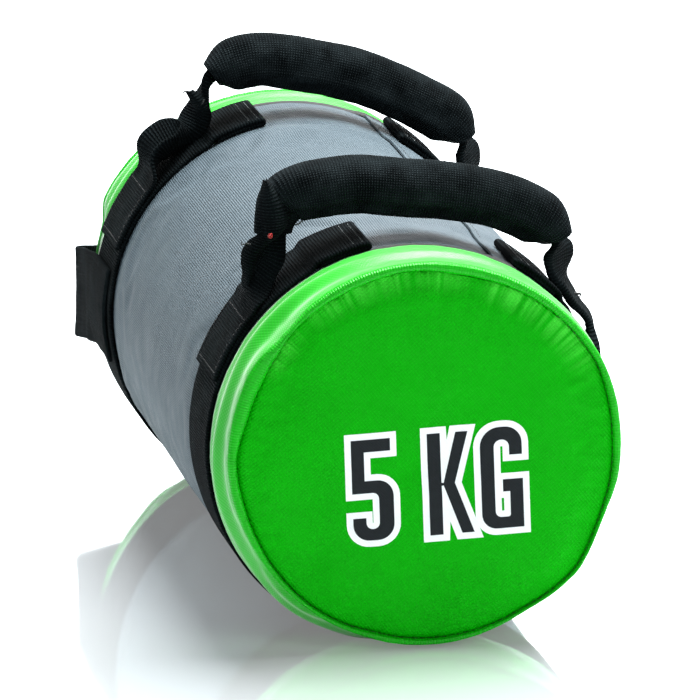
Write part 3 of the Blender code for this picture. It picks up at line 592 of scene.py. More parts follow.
def covered(angle, y, spread=0.0):
    """1 where a hoop lies on the body."""
    from_top = np.abs((angle - rolled(0.0) + 180.0) % 360.0 - 180.0)
    under = smooth((from_top - HOOP_END + 1.0) / 3.0)
    away = np.abs(np.abs(y) - HOOP_Y) - WIDTH / 2
    return under * (1.0 - smooth((away - spread) / 0.004))


def bag_body():
    """The body panel, pressed in under the hoops and on the floor."""
    y = np.linspace(-BODY_EDGE, BODY_EDGE, 96)
    angle, place = np.meshgrid(TURNS, y, indexing="ij")
    free = np.clip((HOOP_Y - WIDTH / 2 - np.abs(place)) / 0.020, 0.0, 1.0)
    offset = -hoop_pressed(angle, place) + 0.0010 * smooth(free) * (1.0 - press_share(angle))
    points, normals = on_outline(angle, place, 0.0)
    loose = 1.0 - covered(angle, place)
    off_lap = 1.0 - 0.9 * lap_share(angle)
    offset = offset + 0.0005 * lumps(points, 0.055, 1) * loose * smooth(free + 0.2) * off_lap
    for fold in BODY_FOLDS:
        offset = offset + crease(angle, place, *fold) * (1.0 - covered(angle, place, -0.002))
    points = points + normals * offset[..., None]
    mesh = grid_mesh("bag_body", points, AROUND_S, y, closed_u=True, flip=True)
    at_seam = 1.0 - smooth((BODY_EDGE - np.abs(place) - 0.001) / 0.006)
    held = np.maximum(np.maximum(covered(angle, place), at_seam), lap_share(angle))
    relax(mesh, held, pressure=2.0, growth=0.0015, cap=0.0010, stiff=26.0, bend=4.0)
    rest_on_floor(mesh)
    piece = add_fine("bag_body", mesh, GREY_CLOTH, "bag", "grey_tarpaulin", "body_panel")
    return tree_of(mesh)


BODY_TREE = bag_body()


def height_over_body(angle, y):
    """How far the settled body stands out of the plain outline at each place."""
    points, normals = on_outline(angle, y, RAY_HEIGHT)
    heights = []
    for point, normal in zip(points.reshape(-1, 3), normals.reshape(-1, 3)):
        hit = BODY_TREE.ray_cast(Vector(point), -Vector(normal))
        heights.append(RAY_HEIGHT - hit[3] if hit[0] is not None else 0.0)
    return np.array(heights).reshape(np.shape(points)[:-1])


def body_lap():
    """The strip where the panel overlaps itself, on the settled body."""
    columns = np.linspace(LAP_RIGHT, LAP_LEFT, 26)
    y = np.linspace(-BODY_EDGE, BODY_EDGE, 150)
    angle, place = np.meshgrid(columns, y, indexing="ij")
    base = np.maximum(height_over_body(angle, place), -0.001 + 0.001 * covered(angle, place))
    left_edge = smooth((angle - LAP_LEFT + 2.6) / 2.4) * (1.0 - covered(angle, place))
    lift = 0.0005 * left_edge * (0.6 + 0.7 * lumps(np.stack([angle * 0.002, place, place], -1), 0.03, 5))
    top = on_outline(angle, place, base + GAP + LAP_THICK + lift)[0]
    low = on_outline(angle, place, base + GAP + lift)[0]
    ring = np.concatenate([top, low[::-1]], 0).transpose(1, 0, 2)
    s = round_trip(np.radians(columns) * BODY_RADIUS)
    mesh = grid_mesh("body_lap", ring, s, y[:, None], closed_v=True, caps=True)
    outward(mesh)
    add("body_lap", mesh, GREY_CLOTH, "bag", "grey_tarpaulin", "body_lap_strip")
    mesh.set_sharp_from_angle(angle=math.radians(50.0))
    return tree_of(mesh)


LAP_TREE = body_lap()


# Bands, rim seams and discs

# Each rim seam is drawn in between a few corners. For each angle: the radius of the groove at the panel's
# edge, the radius of the seam's outer side, both in millimetres, and how deep the groove is.
RIM_SHAPE = np.array([
    (2, 95.4, 99.9, .50), (15, 96.3, 100.6, .50), (27, 97.5, 101.0, .75), (39, 96.3, 100.2, .40),
    (54, 95.0, 99.4, .30), (72, 93.0, 98.5, .12), (80, 92.6, 98.3, .15), (90, 93.9, 98.3, .30),
    (99, 93.7, 98.2, .12), (108, 92.9, 98.0, .12), (119, 92.7, 97.4, .15), (127, 92.9, 96.4, .30),
    (135, 92.6, 94.6, .75), (141, 91.0, 95.2, .80), (147, 90.3, 97.8, .80), (153, 90.2, 98.3, .80),
    (161, 90.2, 97.9, .80), (167, 90.6, 97.8, .90), (173, 92.0, 97.7, 1.00), (179, 93.4, 97.8, 1.00),
    (185, 92.7, 97.4, 1.00), (194, 91.7, 96.6, 1.00), (205, 91.5, 95.4, 1.00), (217, 91.9, 95.0, 1.00),
    (232, 92.4, 94.9, .95), (243, 92.4, 95.0, .95), (254, 91.6, 95.2, .85), (263, 92.4, 96.0, .80),
    (278, 93.2, 96.5, .70), (291, 93.8, 96.3, .55), (302, 94.1, 96.1, .50), (308, 95.3, 97.4, .45),
    (318, 97.3, 99.2, .45), (322, 97.8, 100.1, .50), (328, 96.9, 98.9, .45), (335, 95.6, 97.6, .40),
    (342, 95.2, 97.8, .40), (351, 95.7, 99.6, .45),
])
# The most that the seam's outer side and groove reach beside the end handle
LOOP_OUTER, LOOP_GROOVE = 96.6, 94.2
# Deep notches in the groove: the middle and half width of each
NOTCHES = ((90.0, 1.3), (99.5, 1.0), (108.5, 1.0), (118.6, 1.2))


def beside_loop(angle):
    """One where the end handle passes the rear end's sides, none elsewhere."""
    up = np.sin(np.radians(angle))
    return smooth((0.44 - up) / 0.16) * smooth((up + 0.85) / 0.20)


def rim_shape(angle, end):
    """The groove's radius, the seam's outer radius and the groove's depth at each angle."""
    angle = np.asarray(angle, float)
    if end > 0:
        angle = 180.0 - angle
    near = (angle[..., None] + np.array([-2.4, -1.2, 0.0, 1.2, 2.4])) % 360.0
    weight = np.array([0.12, 0.22, 0.32, 0.22, 0.12])
    groove, outer, deep = (
        np.sum(np.interp(near, RIM_SHAPE[:, 0], column, period=360.0) * weight, -1)
        for column in RIM_SHAPE.T[1:])
    for middle, half in NOTCHES:
        away = (angle - middle + 180.0) % 360.0 - 180.0
        deep = deep + 0.9 * np.exp(-(away / half) ** 2)
    if end > 0:
        beside = beside_loop(angle)
        outer = outer - np.maximum(outer - LOOP_OUTER, 0.0) * beside
        groove = groove - np.maximum(groove - LOOP_GROOVE, 0.0) * beside
    return groove / 1000.0, outer / 1000.0, deep


def rim_point(angle, y, radius):
    side = np.radians(angle)
    y = np.broadcast_to(y, np.shape(angle))
    return np.stack([radius * np.cos(side), y, RIM_RADIUS + radius * np.sin(side)], -1)


def side_band(prefix, end, seed):
    """A side band with folds round it, gathered at the body's seam and puckered at the rim."""
    seam, back = SEAM_Y + GAP / 2, RIM_Y - RIM_DEPTH - GAP
    angle, part = np.meshgrid(TURNS, np.linspace(0.0, 1.0, 30), indexing="ij")
    y = end * (seam + (back - seam) * part)
    first, normals = on_outline(angle, y, -hoop_pressed(angle, y))
    to_rim = smooth((part - 0.30) / 0.70)[..., None]
    outer = rim_shape(angle, end)[1]
    points = first * (1.0 - to_rim) + rim_point(angle, y, outer - 0.0007) * to_rim
    middle = np.sin(np.pi * part)
    drift = lumps(np.stack([points[..., 0], y * 0.0, points[..., 2]], -1), 0.07, seed)
    waves = np.sin(2.0 * np.pi * (part * 2.1 + 0.25 * drift + 0.1)) * (0.00125 + 0.00035 * drift)
    soft = lumps(points * np.array([0.5, 3.0, 0.5]), 0.030, seed + 1) * 0.00030
    waves = waves + np.exp(-((part - 0.13) / 0.05) ** 2) * 0.0005
    along_y = points * np.array([1.0, 0.25, 1.0])
    pucker = lumps(along_y, 0.0075, seed + 2) * 0.0005 * np.exp(-(1.0 - part) * (back - seam) / 0.0050)
    gather = lumps(along_y, 0.0090, seed + 3) * 0.0004 * np.exp(-part * (back - seam) / 0.0060)
    free = 1.0 - 0.9 * press_share(angle)
    edges = pucker * smooth((1.0 - part) * 8.0) + gather * smooth(part * 8.0)
    out = (waves + soft) * middle * free + edges * free
    if end < 0:
        hang = np.exp(-((angle - 226.0) / 13.0) ** 2) * (1.0 - smooth((angle - 238.0) / 5.0))
        out = out + 0.0030 * hang * np.exp(-((part - 0.80) / 0.20) ** 2) * smooth((1.0 - part) * 9.0)
    calm = beside_loop(angle) if end > 0 else angle * 0.0
    out = (out + 0.0010 * middle * free) * (1.0 - 0.9 * calm) - 0.0007 * calm * middle
    points = points + normals * out[..., None]
    mesh = grid_mesh(prefix + "_band_skin", points, AROUND_S, np.concatenate([y, y[:1]], 0), closed_u=True,
                     flip=end < 0)
    if end < 0:
        mesh.flip_normals()
    face_out(mesh)
    held = np.maximum(1.0 - smooth(np.minimum(part, 1.0 - part) * 9.0), 0.85 * calm)
    relax(mesh, held, pressure=1.5, growth=0.003, cap=0.0008, stiff=22.0, bend=3.0)
    rest_on_floor(mesh)
    piece = add_fine(prefix + "_band_skin", mesh, BAND_CLOTH, "bag", "green_tarpaulin", prefix + "_side_band")


def rim_ridge(prefix, end, seed):
    """The sewn seam allowance: a rounded ridge, drawn in a little where its groove is deepest."""
    around, section = 1080, 14
    angle = np.arange(around) * 360.0 / around
    turn = np.linspace(-0.30 * math.pi, 1.30 * math.pi, section)
    circle = rim_point(angle, 0.0, RIM_RADIUS)
    wander, fine = lumps(circle, 0.011, seed), lumps(circle, 0.0042, seed + 1)
    groove, outer, deep = rim_shape(angle, end)
    half = (outer - groove) / 2 * (1.0 + 0.04 * wander) + 0.00008 * fine
    depth = (RIM_DEPTH + 0.0005) * (1.0 + 0.05 * wander + 0.03 * fine)
    dent = 1.0 - 0.12 * np.clip(deep - 0.9, 0.0, 1.0)[:, None]
    out = np.cos(turn)[None, :]
    rise = np.sin(turn)[None, :] * 0.62 * depth[:, None] * dent
    radius = ((groove + outer) / 2)[:, None] + np.sign(out) * np.abs(out) ** 0.9 * half[:, None]
    y = end * (RIM_Y - RIM_DEPTH + 0.38 * depth[:, None] + rise)
    side = np.radians(angle)[:, None]
    height = np.maximum(RIM_RADIUS + radius * np.sin(side), 0.0001)
    points = np.stack([radius * np.cos(side), y, height], -1)
    s = np.radians(np.arange(around + 1) * 360.0 / around)[:, None] * RIM_RADIUS
    mesh = grid_mesh(prefix + "_rim_ridge", points, s, np.linspace(0.0, 0.012, section), closed_u=True)
    face_towards(mesh, section // 2, (0.0, end, 0.0))
    add(prefix + "_rim_ridge", mesh, RIM_CLOTH, "bag", "green_tarpaulin", prefix + "_rim_seam")


def end_disc(prefix, end, seed):
    """An end disc on an even grid of four-sided cells, with rays of puckers from its seam."""
    count = 121
    even = np.linspace(-1.0, 1.0, count)
    a, b = np.meshgrid(even, even, indexing="ij")
    a, b = a * np.sqrt(1.0 - b * b / 2.0), b * np.sqrt(1.0 - a * a / 2.0)
    groove, _, deep = rim_shape(np.degrees(np.arctan2(b, a)), end)
    radius = groove - 0.0001
    share = np.hypot(a, b)
    x, up = a * radius, b * radius
    crown = DISC_CROWN * (1.0 - share ** 4)
    flat = np.stack([x, np.zeros_like(x), up], -1)
    direction = np.stack([a, np.zeros_like(a), b], -1) / np.maximum(share, 1e-6)[..., None]
    depth = (1.0 - share) * radius
    strong = 0.55 + 0.45 * smooth((lumps(direction * 0.05, 0.05, seed + 7) + 0.4) / 0.9)
    upper = 0.30 + 0.70 * smooth((direction[..., 2] - 0.1) / 0.6)
    rays = lumps(direction * RIM_RADIUS, 0.0066, seed) * np.exp(-depth / 0.0105) * 0.00120 * strong * upper
    finer = lumps(direction * RIM_RADIUS, 0.0030, seed + 1) * np.exp(-depth / 0.0040) * 0.00035
    soft = lumps(flat, 0.040, seed + 2) * 0.0006 + lumps(flat, 0.017, seed + 3) * 0.00018
    rise = crown + soft * smooth((1.0 - share) * 7.0) + (rays + finer) * smooth((1.0 - share) * 30.0 + 0.15)
    tuck = -TUCK_DEPTH * np.exp(-depth / 0.0012) * deep
    points = np.stack([x, end * (RIM_Y - DISC_RECESS + rise + tuck), RIM_RADIUS + up], -1)
    mesh = grid_mesh(prefix + "_disc_skin", points, x, up)
    face_towards(mesh, count * count // 2, (0.0, end, 0.0))
    held = smooth((share - 0.93) / 0.05)
    relax(mesh, held, pressure=0.4, growth=0.006, cap=0.0012, stiff=20.0, bend=1.0)
    piece = add_fine(prefix + "_disc_skin", mesh, DISC_CLOTH, "bag", "green_tarpaulin", prefix + "_end_disc")
    return piece


side_band("front", -1.0, 11)
side_band("rear", 1.0, 21)
rim_ridge("front", -1.0, 31)
rim_ridge("rear", 1.0, 41)
FRONT_DISC = end_disc("front", -1.0, 51)
end_disc("rear", 1.0, 61)


# Straps

def strap_columns(width, count):
    """Places across a strap, and how thick it is at each: thin at its selvedges."""
    inner = np.linspace(-width / 2 + 0.7 * THICK, width / 2 - 0.7 * THICK, count)
    rim = np.array([-width / 2, -width / 2 + 0.12 * THICK, -width / 2 + 0.35 * THICK])
    thin = (0.25, 0.62, 0.9)
    return np.concatenate([rim, inner, -rim[::-1]]), np.concatenate([thin, np.ones(count), thin[::-1]])


def folded(columns, fold):
    """A strap's section bent along its middle: across, out and the normal, for each fold angle."""
    fold = np.radians(np.asarray(fold, float))[:, None]
    reach = np.abs(columns)
    samples = np.linspace(0.0, reach.max(), 121)
    heading = fold * np.minimum((samples[1:] + samples[:-1]) / 2 / (CREASE / 2), 1.0)
    step = samples[1] - samples[0]
    a = np.concatenate([np.zeros_like(fold), np.cumsum(np.cos(heading) * step, 1)], 1)
    b = np.concatenate([np.zeros_like(fold), -np.cumsum(np.sin(heading) * step, 1)], 1)
    across = np.array([np.interp(reach, samples, row) for row in a]) * np.sign(columns)
    out = np.array([np.interp(reach, samples, row) for row in b])
    lean = fold * np.minimum(reach / (CREASE / 2), 1.0)
    return across, out, np.sin(lean) * np.sign(columns), np.cos(lean)


def tucked(columns, half):
    """A strap's section with its edges tucked under, for each half width left between them."""
    bend = 0.0013
    reach = np.abs(columns)[None, :]
    half = np.asarray(half, float)[:, None]
    over = np.maximum(reach - half, 0.0)
    turn = np.minimum(over / bend, math.pi)
    across = np.minimum(reach, half) + bend * np.sin(turn) - np.maximum(over - math.pi * bend, 0.0)
    out = -bend * (1.0 - np.cos(turn))
    return across * np.sign(columns), out, np.sin(turn) * np.sign(columns), np.cos(turn)


def strap_mesh(name, centre, across, normal, seed, wobble, width=WIDTH - 0.0006, fold=0.0, tuck=None, sag=0.0,
               gather=1.0):
    """A woven strap along a line, with rounded selvedges and a slightly uneven lie."""
    columns, shape = strap_columns(width, 22 if tuck is None else 46)
    sag, gather = np.reshape(sag, (-1, 1)), np.reshape(gather, (-1, 1))
    a, b, na, nb = folded(columns, np.full(len(centre), fold)) if tuck is None else tucked(columns, tuck)
    middle = (b[:, len(columns) // 2] + b[:, 0]) / 2
    a, b = a * gather, (b - middle[:, None] - sag * columns ** 2) * gather
    place = centre[:, None] + across[:, None] * a[..., None] + normal[:, None] * b[..., None]
    facing = across[:, None] * na[..., None] + normal[:, None] * nb[..., None]
    place = place + facing * (lumps(place, 0.012, seed) * wobble)[..., None]
    half = facing * (THICK / 2 * shape)[None, :, None]
    loops = np.concatenate([place + half, (place - half)[:, ::-1]], 1)
    mesh = grid_mesh(name, loops, lengths_of(centre)[:, None], round_trip(columns), closed_v=True, caps=True)
    outward(mesh)
    return mesh


def line_normals(line, seed_out):
    """Normals of a line in a plane square to Y, the first one towards seed_out."""
    normal = np.cross(LEVEL, unit(np.gradient(line, axis=0)))
    return unit(-normal if np.dot(normal[0], seed_out) < 0 else normal)


def hoop_strap(prefix, end, seed):
    """A hoop with both ends folded back on themselves; its path is rows of length and height."""
    total = math.radians(360.0 - 2 * HOOP_END) * (BODY_RADIUS + STACK)
    nose, fold_end = THICK * 0.55, HOOP_FOLD + 0.0008
    path = [(s, 0.5 * THICK) for s in np.linspace(HOOP_FOLD, nose, 18)[:-1]]
    path += [(nose + 0.5 * THICK * math.cos(a), THICK + 0.5 * THICK * math.sin(a))
             for a in np.radians(np.linspace(-90.0, -270.0, 11))]
    path += [(s, 1.5 * THICK) for s in np.linspace(nose, fold_end, 18)[1:]]
    path += [(fold_end + 0.0055 * r, THICK * (1.5 - float(smooth(r)))) for r in np.linspace(0.0, 1.0, 9)[1:]]
    half = np.array(path)
    middle = np.linspace(half[-1, 0], total - half[-1, 0], 300)[1:-1]
    level = np.stack([middle, np.full_like(middle, 0.5 * THICK)], -1)
    other = half[::-1] * np.array([-1.0, 1.0]) + np.array([total, 0.0])
    path = np.concatenate([half, level, other])
    angle = rolled(HOOP_END) + np.degrees(path[:, 0] / (BODY_RADIUS + STACK))
    wave = 0.00025 * lumps(path[:, :1] * np.array([1.0, 0.0, 0.0]), 0.02, seed)
    centre, normals = on_outline(angle, end * HOOP_Y, strap_low(angle) + path[:, 1] + np.abs(wave) * 0.3)
    centre[:, 1] += wave * 0.8
    normal = line_normals(centre, -normals[0])
    across = np.broadcast_to(LEVEL, centre.shape)
    mesh = strap_mesh(prefix + "_hoop_strap", centre, across, normal, seed, 0.00008)
    rest_on_floor(mesh)
    add(prefix + "_hoop_strap", mesh, WEBBING, "bag", "webbing", prefix + "_hoop")


hoop_strap("front", -1.0, 71)
hoop_strap("rear", 1.0, 81)


def polar_place(from_top, radius, y):
    side = math.radians(rolled(from_top))
    return [radius * math.cos(side), y, AXIS_HEIGHT + radius * math.sin(side)]


def route_row(entry, y, unit_radius):
    from_top, share, fold, twist = entry
    return [*polar_place(from_top, unit_radius * share, y), fold, twist]


def handle_lines(end, left, grip, right):
    """The handle webbing's left part, grip and right part, as rows of place, fold and twist."""
    y = end * HOOP_Y
    lead = arc(WIDTH / 4)
    wide = WIDTH * 500.0
    parts = 8

    def line(inner, root):
        grip_rows = grip if inner is None else [(*entry[:2], *inner) for entry in grip]
        rows = [route_row((turn, 1.0, *root), y, ROOT_RADIUS) for turn in (ROOT_ANGLE + lead, ROOT_ANGLE)]
        rows += [route_row(entry, y, GRIP_RADIUS) for entry in (*left, *grip_rows, *right)]
        rows += [route_row((turn, 1.0, *root), y, ROOT_RADIUS) for turn in (-ROOT_ANGLE, -ROOT_ANGLE - lead)]
        return catmull(rows, parts)

    middle = line(None, (0.0, 0.0))
    left_fine = line((left[-1][2], grip[0][3] - (180.0 if left[-1][2] < 0 else 0.0)), (0.0, 0.0))
    right_fine = line((8.0, 10.0), (wide, 0.0))
    grip_start = (2 + len(left)) * parts
    grip_stop = (1 + len(left) + len(grip)) * parts
    anchors = []
    for side, flat in ((1.0, 0.0), (-1.0, wide)):
        angle = rolled(np.linspace(ROOT_ANGLE + arc(ANCHOR_LENGTH), ROOT_ANGLE, 24)[:-1] * side)
        places = on_outline(angle, y, strap_low(angle) + STACK + THICK / 2)[0]
        anchors.append(np.concatenate([places, np.full((len(angle), 1), flat), np.zeros((len(angle), 1))], 1))
    inside = 10
    left_line = np.concatenate([anchors[0], left_fine[parts:grip_start + inside]])
    right_line = np.concatenate([anchors[1], right_fine[grip_stop - inside + 1:len(middle) - parts][::-1]])
    return left_line, middle[grip_start:grip_stop + 1], right_line


def turned(line):
    """Directions across a folded strap, out of its crease, and out of the bag."""
    outward_way = line_normals(line[:, :3], line[0, :3] - np.array([0.0, line[0, 1], AXIS_HEIGHT]))
    side = np.radians(line[:, 4])[:, None]
    across = LEVEL * np.cos(side) + outward_way * np.sin(side)
    return across, outward_way * np.cos(side) - LEVEL * np.sin(side), outward_way


def handle_strap(prefix, side, line, seed):
    """A strap from its anchor on the hoop to the grip: folded on the left, tucked on the right."""
    line = spaced(line, 0.0014)
    across, out = turned(line)[:2]
    shape = {"fold": line[:, 3]} if side == "_left" else {"tuck": line[:, 3] / 1000.0}
    from_top = np.degrees(np.arctan2(line[:, 2] - AXIS_HEIGHT, line[:, 0])) - rolled(0.0)
    start, span, drawn, stop, fade = GATHERS[prefix + side]
    gather = 1.0 - drawn * smooth((from_top - start) / span) * smooth((from_top - stop) / fade)
    name = prefix + side + "_strap"
    mesh = strap_mesh(
        name, line[:, :3], across, out, seed, 0.00030, width=WIDTH - 0.0012, gather=gather, **shape)
    piece = add(name, mesh, WEBBING, None, "webbing", prefix + side + "_anchor", prefix + side + "_riser")
    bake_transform(piece)


def superellipse(line, width, thickness, squareness, count):
    """Directions round a line, and how far its oval section reaches in each."""
    across, out, outward_way = turned(line)
    turn = np.linspace(0.0, 2.0 * math.pi, count, endpoint=False)
    direction = LEVEL * np.cos(turn)[None, :, None] + outward_way[:, None] * np.sin(turn)[None, :, None]
    wide = np.abs(np.sum(direction * out[:, None], -1)) / width[:, None]
    thin = np.abs(np.sum(direction * across[:, None], -1)) / thickness[:, None]
    return direction, (wide ** squareness + thin ** squareness) ** (-1.0 / squareness)


def grip_sleeve(prefix, line, body, seed):
    """The woven sleeve over the foam, drawn flat on the webbing at its mouths."""
    line = spaced(line, 0.0019)
    count = 56
    lengths = lengths_of(line)
    from_end = np.minimum(lengths, lengths[-1] - lengths)
    swell = np.sin(math.pi / 2 * np.minimum(from_end / TAPER, 1.0))
    thickness = (MOUTH_THICK + (GRIP_THICK - 0.0008 - MOUTH_THICK) * swell) / 2
    width = np.full(len(line), GRIP_THICK / 2 - 0.0004)
    if prefix == "front":
        neck_thick, neck_wide, neck_length = 0.0056, 0.0132, 0.034
        neck = smooth(lengths / neck_length)
        thickness = np.minimum(thickness, neck_thick + (thickness - neck_thick) * neck)
        width = neck_wide + (width - neck_wide) * neck
    direction, reach = superellipse(line, width, thickness, 2.25, count)
    facing = np.linspace(0.0, 2.0 * math.pi, count, endpoint=False)
    crease_at = math.radians(196.0 if prefix == "front" else 200.0)
    turn = (facing - crease_at + math.pi) % (2 * math.pi) - math.pi
    ridge = np.exp(-(turn / 0.13) ** 2) * 0.0013 - np.exp(-((turn - 0.50) / 0.32) ** 2) * 0.0025
    full = smooth(from_end / 0.02)[:, None]
    points = line[:, None, :3] + direction * (reach + ridge[None, :] * full)[..., None]
    lump = lumps(points, 0.026, seed) * 0.00030 + lumps(points, 0.009, seed + 1) * 0.00014
    points = points + direction * (lump * full)[..., None]
    inner = line[:, None, :3] + direction * (reach - 0.0012)[..., None]
    deep = 4
    start_lip = (points[0] + inner[0]) / 2 - (line[1, :3] - line[0, :3]) * 0.3
    end_lip = (points[-1] + inner[-1]) / 2 + (line[-1, :3] - line[-2, :3]) * 0.3
    points = np.array([inner[deep], inner[0], start_lip, *points, end_lip, inner[-1], inner[-1 - deep]])
    s = np.concatenate([[-0.008, -0.002, -0.001], lengths, lengths[-1] + np.array([0.001, 0.002, 0.008])])
    name = prefix + "_padded_sleeve"
    t = np.linspace(0.0, math.pi * GRIP_THICK, count + 1)
    mesh = grid_mesh(name, points, s[:, None], t, closed_v=True)
    index = count * (len(points) // 2)
    face_towards(mesh, index, mesh.polygons[index].center - Vector(line[len(line) // 2, :3]))
    held = np.ones((len(points), count))
    held[3:-3] = (1.0 - smooth((from_end - 0.001) / 0.007))[:, None]
    held = np.maximum(held, np.exp(-(turn / 0.25) ** 2)[None, :] * 0.9)
    relax(mesh, held, pressure=1.6, growth=0.004, cap=0.0004, stiff=20.0, bend=2.0)
    piece = add_fine(name, mesh, SLEEVE, body, "handle_sleeve", prefix + "_grip_sleeve")


def grip_foam(prefix, line, body, seed):
    """The foam core inside a sleeve, cut to a taper at its ends."""
    line = spaced(line, 0.0030)
    lengths = lengths_of(line)
    keep = (lengths > (0.030 if prefix == "front" else 0.013)) & (lengths[-1] - lengths > 0.013)
    line, lengths = line[keep], lengths[keep] - lengths[keep][0]
    from_end = np.minimum(lengths, lengths[-1] - lengths)
    size = GRIP_THICK / 2 - 0.0036 - 0.0040 * (1.0 - smooth(from_end / 0.010))
    count = 28
    direction, reach = superellipse(line, size, size, 2.2, count)
    reach = reach + lumps(line[:, None, :3] + direction * 0.01, 0.012, seed) * 0.0003
    points = line[:, None, :3] + direction * reach[..., None]
    name = prefix + "_foam_core"
    t = np.linspace(0.0, 0.08, count + 1)
    mesh = grid_mesh(name, points, lengths[:, None], t, closed_v=True, caps=True)
    outward(mesh)
    add(name, mesh, FOAM, body, "foam", prefix + "_grip_foam")


def inner_webbing(prefix, line, body, seed):
    """The folded webbing through a grip, between the ends of its two straps."""
    line = spaced(line, 0.0030)[5:-5]
    across, out = turned(line)[:2]
    mesh = strap_mesh(prefix + "_inner_webbing", line[:, :3], across, out, seed, 0.0002, width=0.0165)
    add(prefix + "_inner_webbing", mesh, WEBBING, body, "webbing", prefix + "_grip_webbing")


for prefix, end, left, grip, right, seed in (
    ("front", -1.0, FRONT_LEFT, FRONT_GRIP, FRONT_RIGHT, 101),
    ("rear", 1.0, REAR_LEFT, REAR_GRIP, REAR_RIGHT, 131),
):
    left_line, grip_line, right_line = handle_lines(end, left, grip, right)
    body = prefix + "_handle"
    handle_strap(prefix, "_left", left_line, seed)
    handle_strap(prefix, "_right", right_line, seed + 3)
    grip_sleeve(prefix, grip_line, body, seed + 7)
    grip_foam(prefix, grip_line, body, seed + 9)
    inner_webbing(prefix, grip_line, body, seed + 11)


def roll_point(across, y, up):
    roll = math.radians(ROLL)
    x = across * math.cos(roll) - up * math.sin(roll)
    z = across * math.sin(roll) + up * math.cos(roll)
    return np.array([x, y, AXIS_HEIGHT + z])


def end_loop():
    """The end handle: one strap from its left anchor round the rear end to its right anchor."""
    side = math.radians(END_ANGLE)
    radius = BODY_RADIUS + STACK * 2 - THICK / 2
    start_x, start_up = radius * math.sin(side), radius * math.cos(side)
    side_x = start_x - END_LEAN
    back = RIM_Y + END_REACH
    corner_x, corner_y = side_x - END_CORNER, back - END_CORNER
    half = [(start_x, SEAM_Y - before) for before in (END_ANCHOR, 0.028, 0.014, 0.0)]
    half.append((side_x, (SEAM_Y + corner_y) / 2))
    for turn in np.radians((0.0, 30.0, 60.0, 90.0)):
        half.append((corner_x + END_CORNER * math.cos(turn), corner_y + END_CORNER * math.sin(turn)))
    half.append((corner_x * 0.35, back + END_BELLY))
    rows = []
    for x, y in half:
        droop = END_DROOP * float(smooth((y - SEAM_Y) / (back - SEAM_Y)))
        rows.append([x, y, start_up - droop])
    left = [[-x, y, up] for x, y, up in rows]
    line = spaced(catmull(left + rows[::-1]), 0.0018)
    centre, across, normal, sag = [], [], [], []
    tangents = unit(np.gradient(line * np.array([1.0, 1.0, 0.0]), axis=0))
    for (x, y, up), tangent in zip(line, tangents):
        hand = -1.0 if x < 0 else 1.0
        toward_root = 1.0 - float(smooth((y - corner_y) / (back - corner_y)))
        tilt = math.radians(90.0 - END_ANGLE) * toward_root
        centre.append(roll_point(x, y, up))
        foot = roll_point(0.0, 0.0, 0.0)
        across.append(roll_point(-hand * math.sin(tilt), 0.0, math.cos(tilt)) - foot)
        normal.append(roll_point(-tangent[1], tangent[0], 0.0) - foot)
        sag.append(0.5 / (BODY_RADIUS + STACK * 2) * (1.0 - float(smooth((y - SEAM_Y) / 0.020))))
    centre, across, normal = np.array(centre), unit(np.array(across)), unit(np.array(normal))
    normal = unit(normal - across * np.sum(normal * across, -1, keepdims=True))
    if np.sum(normal * (centre - np.array([0.0, 0.15, AXIS_HEIGHT]))) < 0:
        normal = -normal
    sway = lumps(centre, 0.05, 161) * 0.0008 * smooth((centre[:, 1] - SEAM_Y) / 0.03)
    centre = centre + normal * sway[:, None]
    mesh = strap_mesh("end_handle_loop", centre, across, normal, 163, 0.00030, width=WIDTH - 0.0004, sag=sag)
    piece = add(
        "end_handle_loop", mesh, WEBBING, None, "webbing", "end_handle_left_anchor",
        "end_handle_right_anchor", "end_handle_left_root", "end_handle_strap", "end_handle_right_root")
    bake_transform(piece)


end_loop()


# Threads and tape

def stitches(name, rows, material, radius=0.00028):
    """Short bent threads, one for each row of place, direction and normal, with its length."""
    vertices, faces = [], []
    sides, parts = 6, 5
    for place, direction, normal, length in rows:
        place, direction, normal = np.array(place), unit(np.array(direction)), unit(np.array(normal))
        third = np.cross(direction, normal)
        base = len(vertices)
        for part in range(parts + 1):
            share = part / parts
            arch = math.sin(math.pi * share)
            thick = radius * (0.55 + 0.45 * arch)
            middle = place + direction * length * (share - 0.5) + normal * radius * (1.5 * arch - 0.9)
            for side in range(sides):
                turn = 2.0 * math.pi * side / sides
                vertices.append(middle + thick * (third * math.cos(turn) + normal * math.sin(turn)))
        for part in range(parts):
            for side in range(sides):
                low, high = base + part * sides, base + (part + 1) * sides
                after = (side + 1) % sides
                faces.append([low + side, low + after, high + after, high + side])
        faces.append([base + side for side in range(sides)][::-1])
        faces.append([base + parts * sides + side for side in range(sides)])
    mesh = new_mesh(name, [Vector(vertex) for vertex in vertices], faces)
    outward(mesh)
    add(name, mesh, material, "bag", "thread")


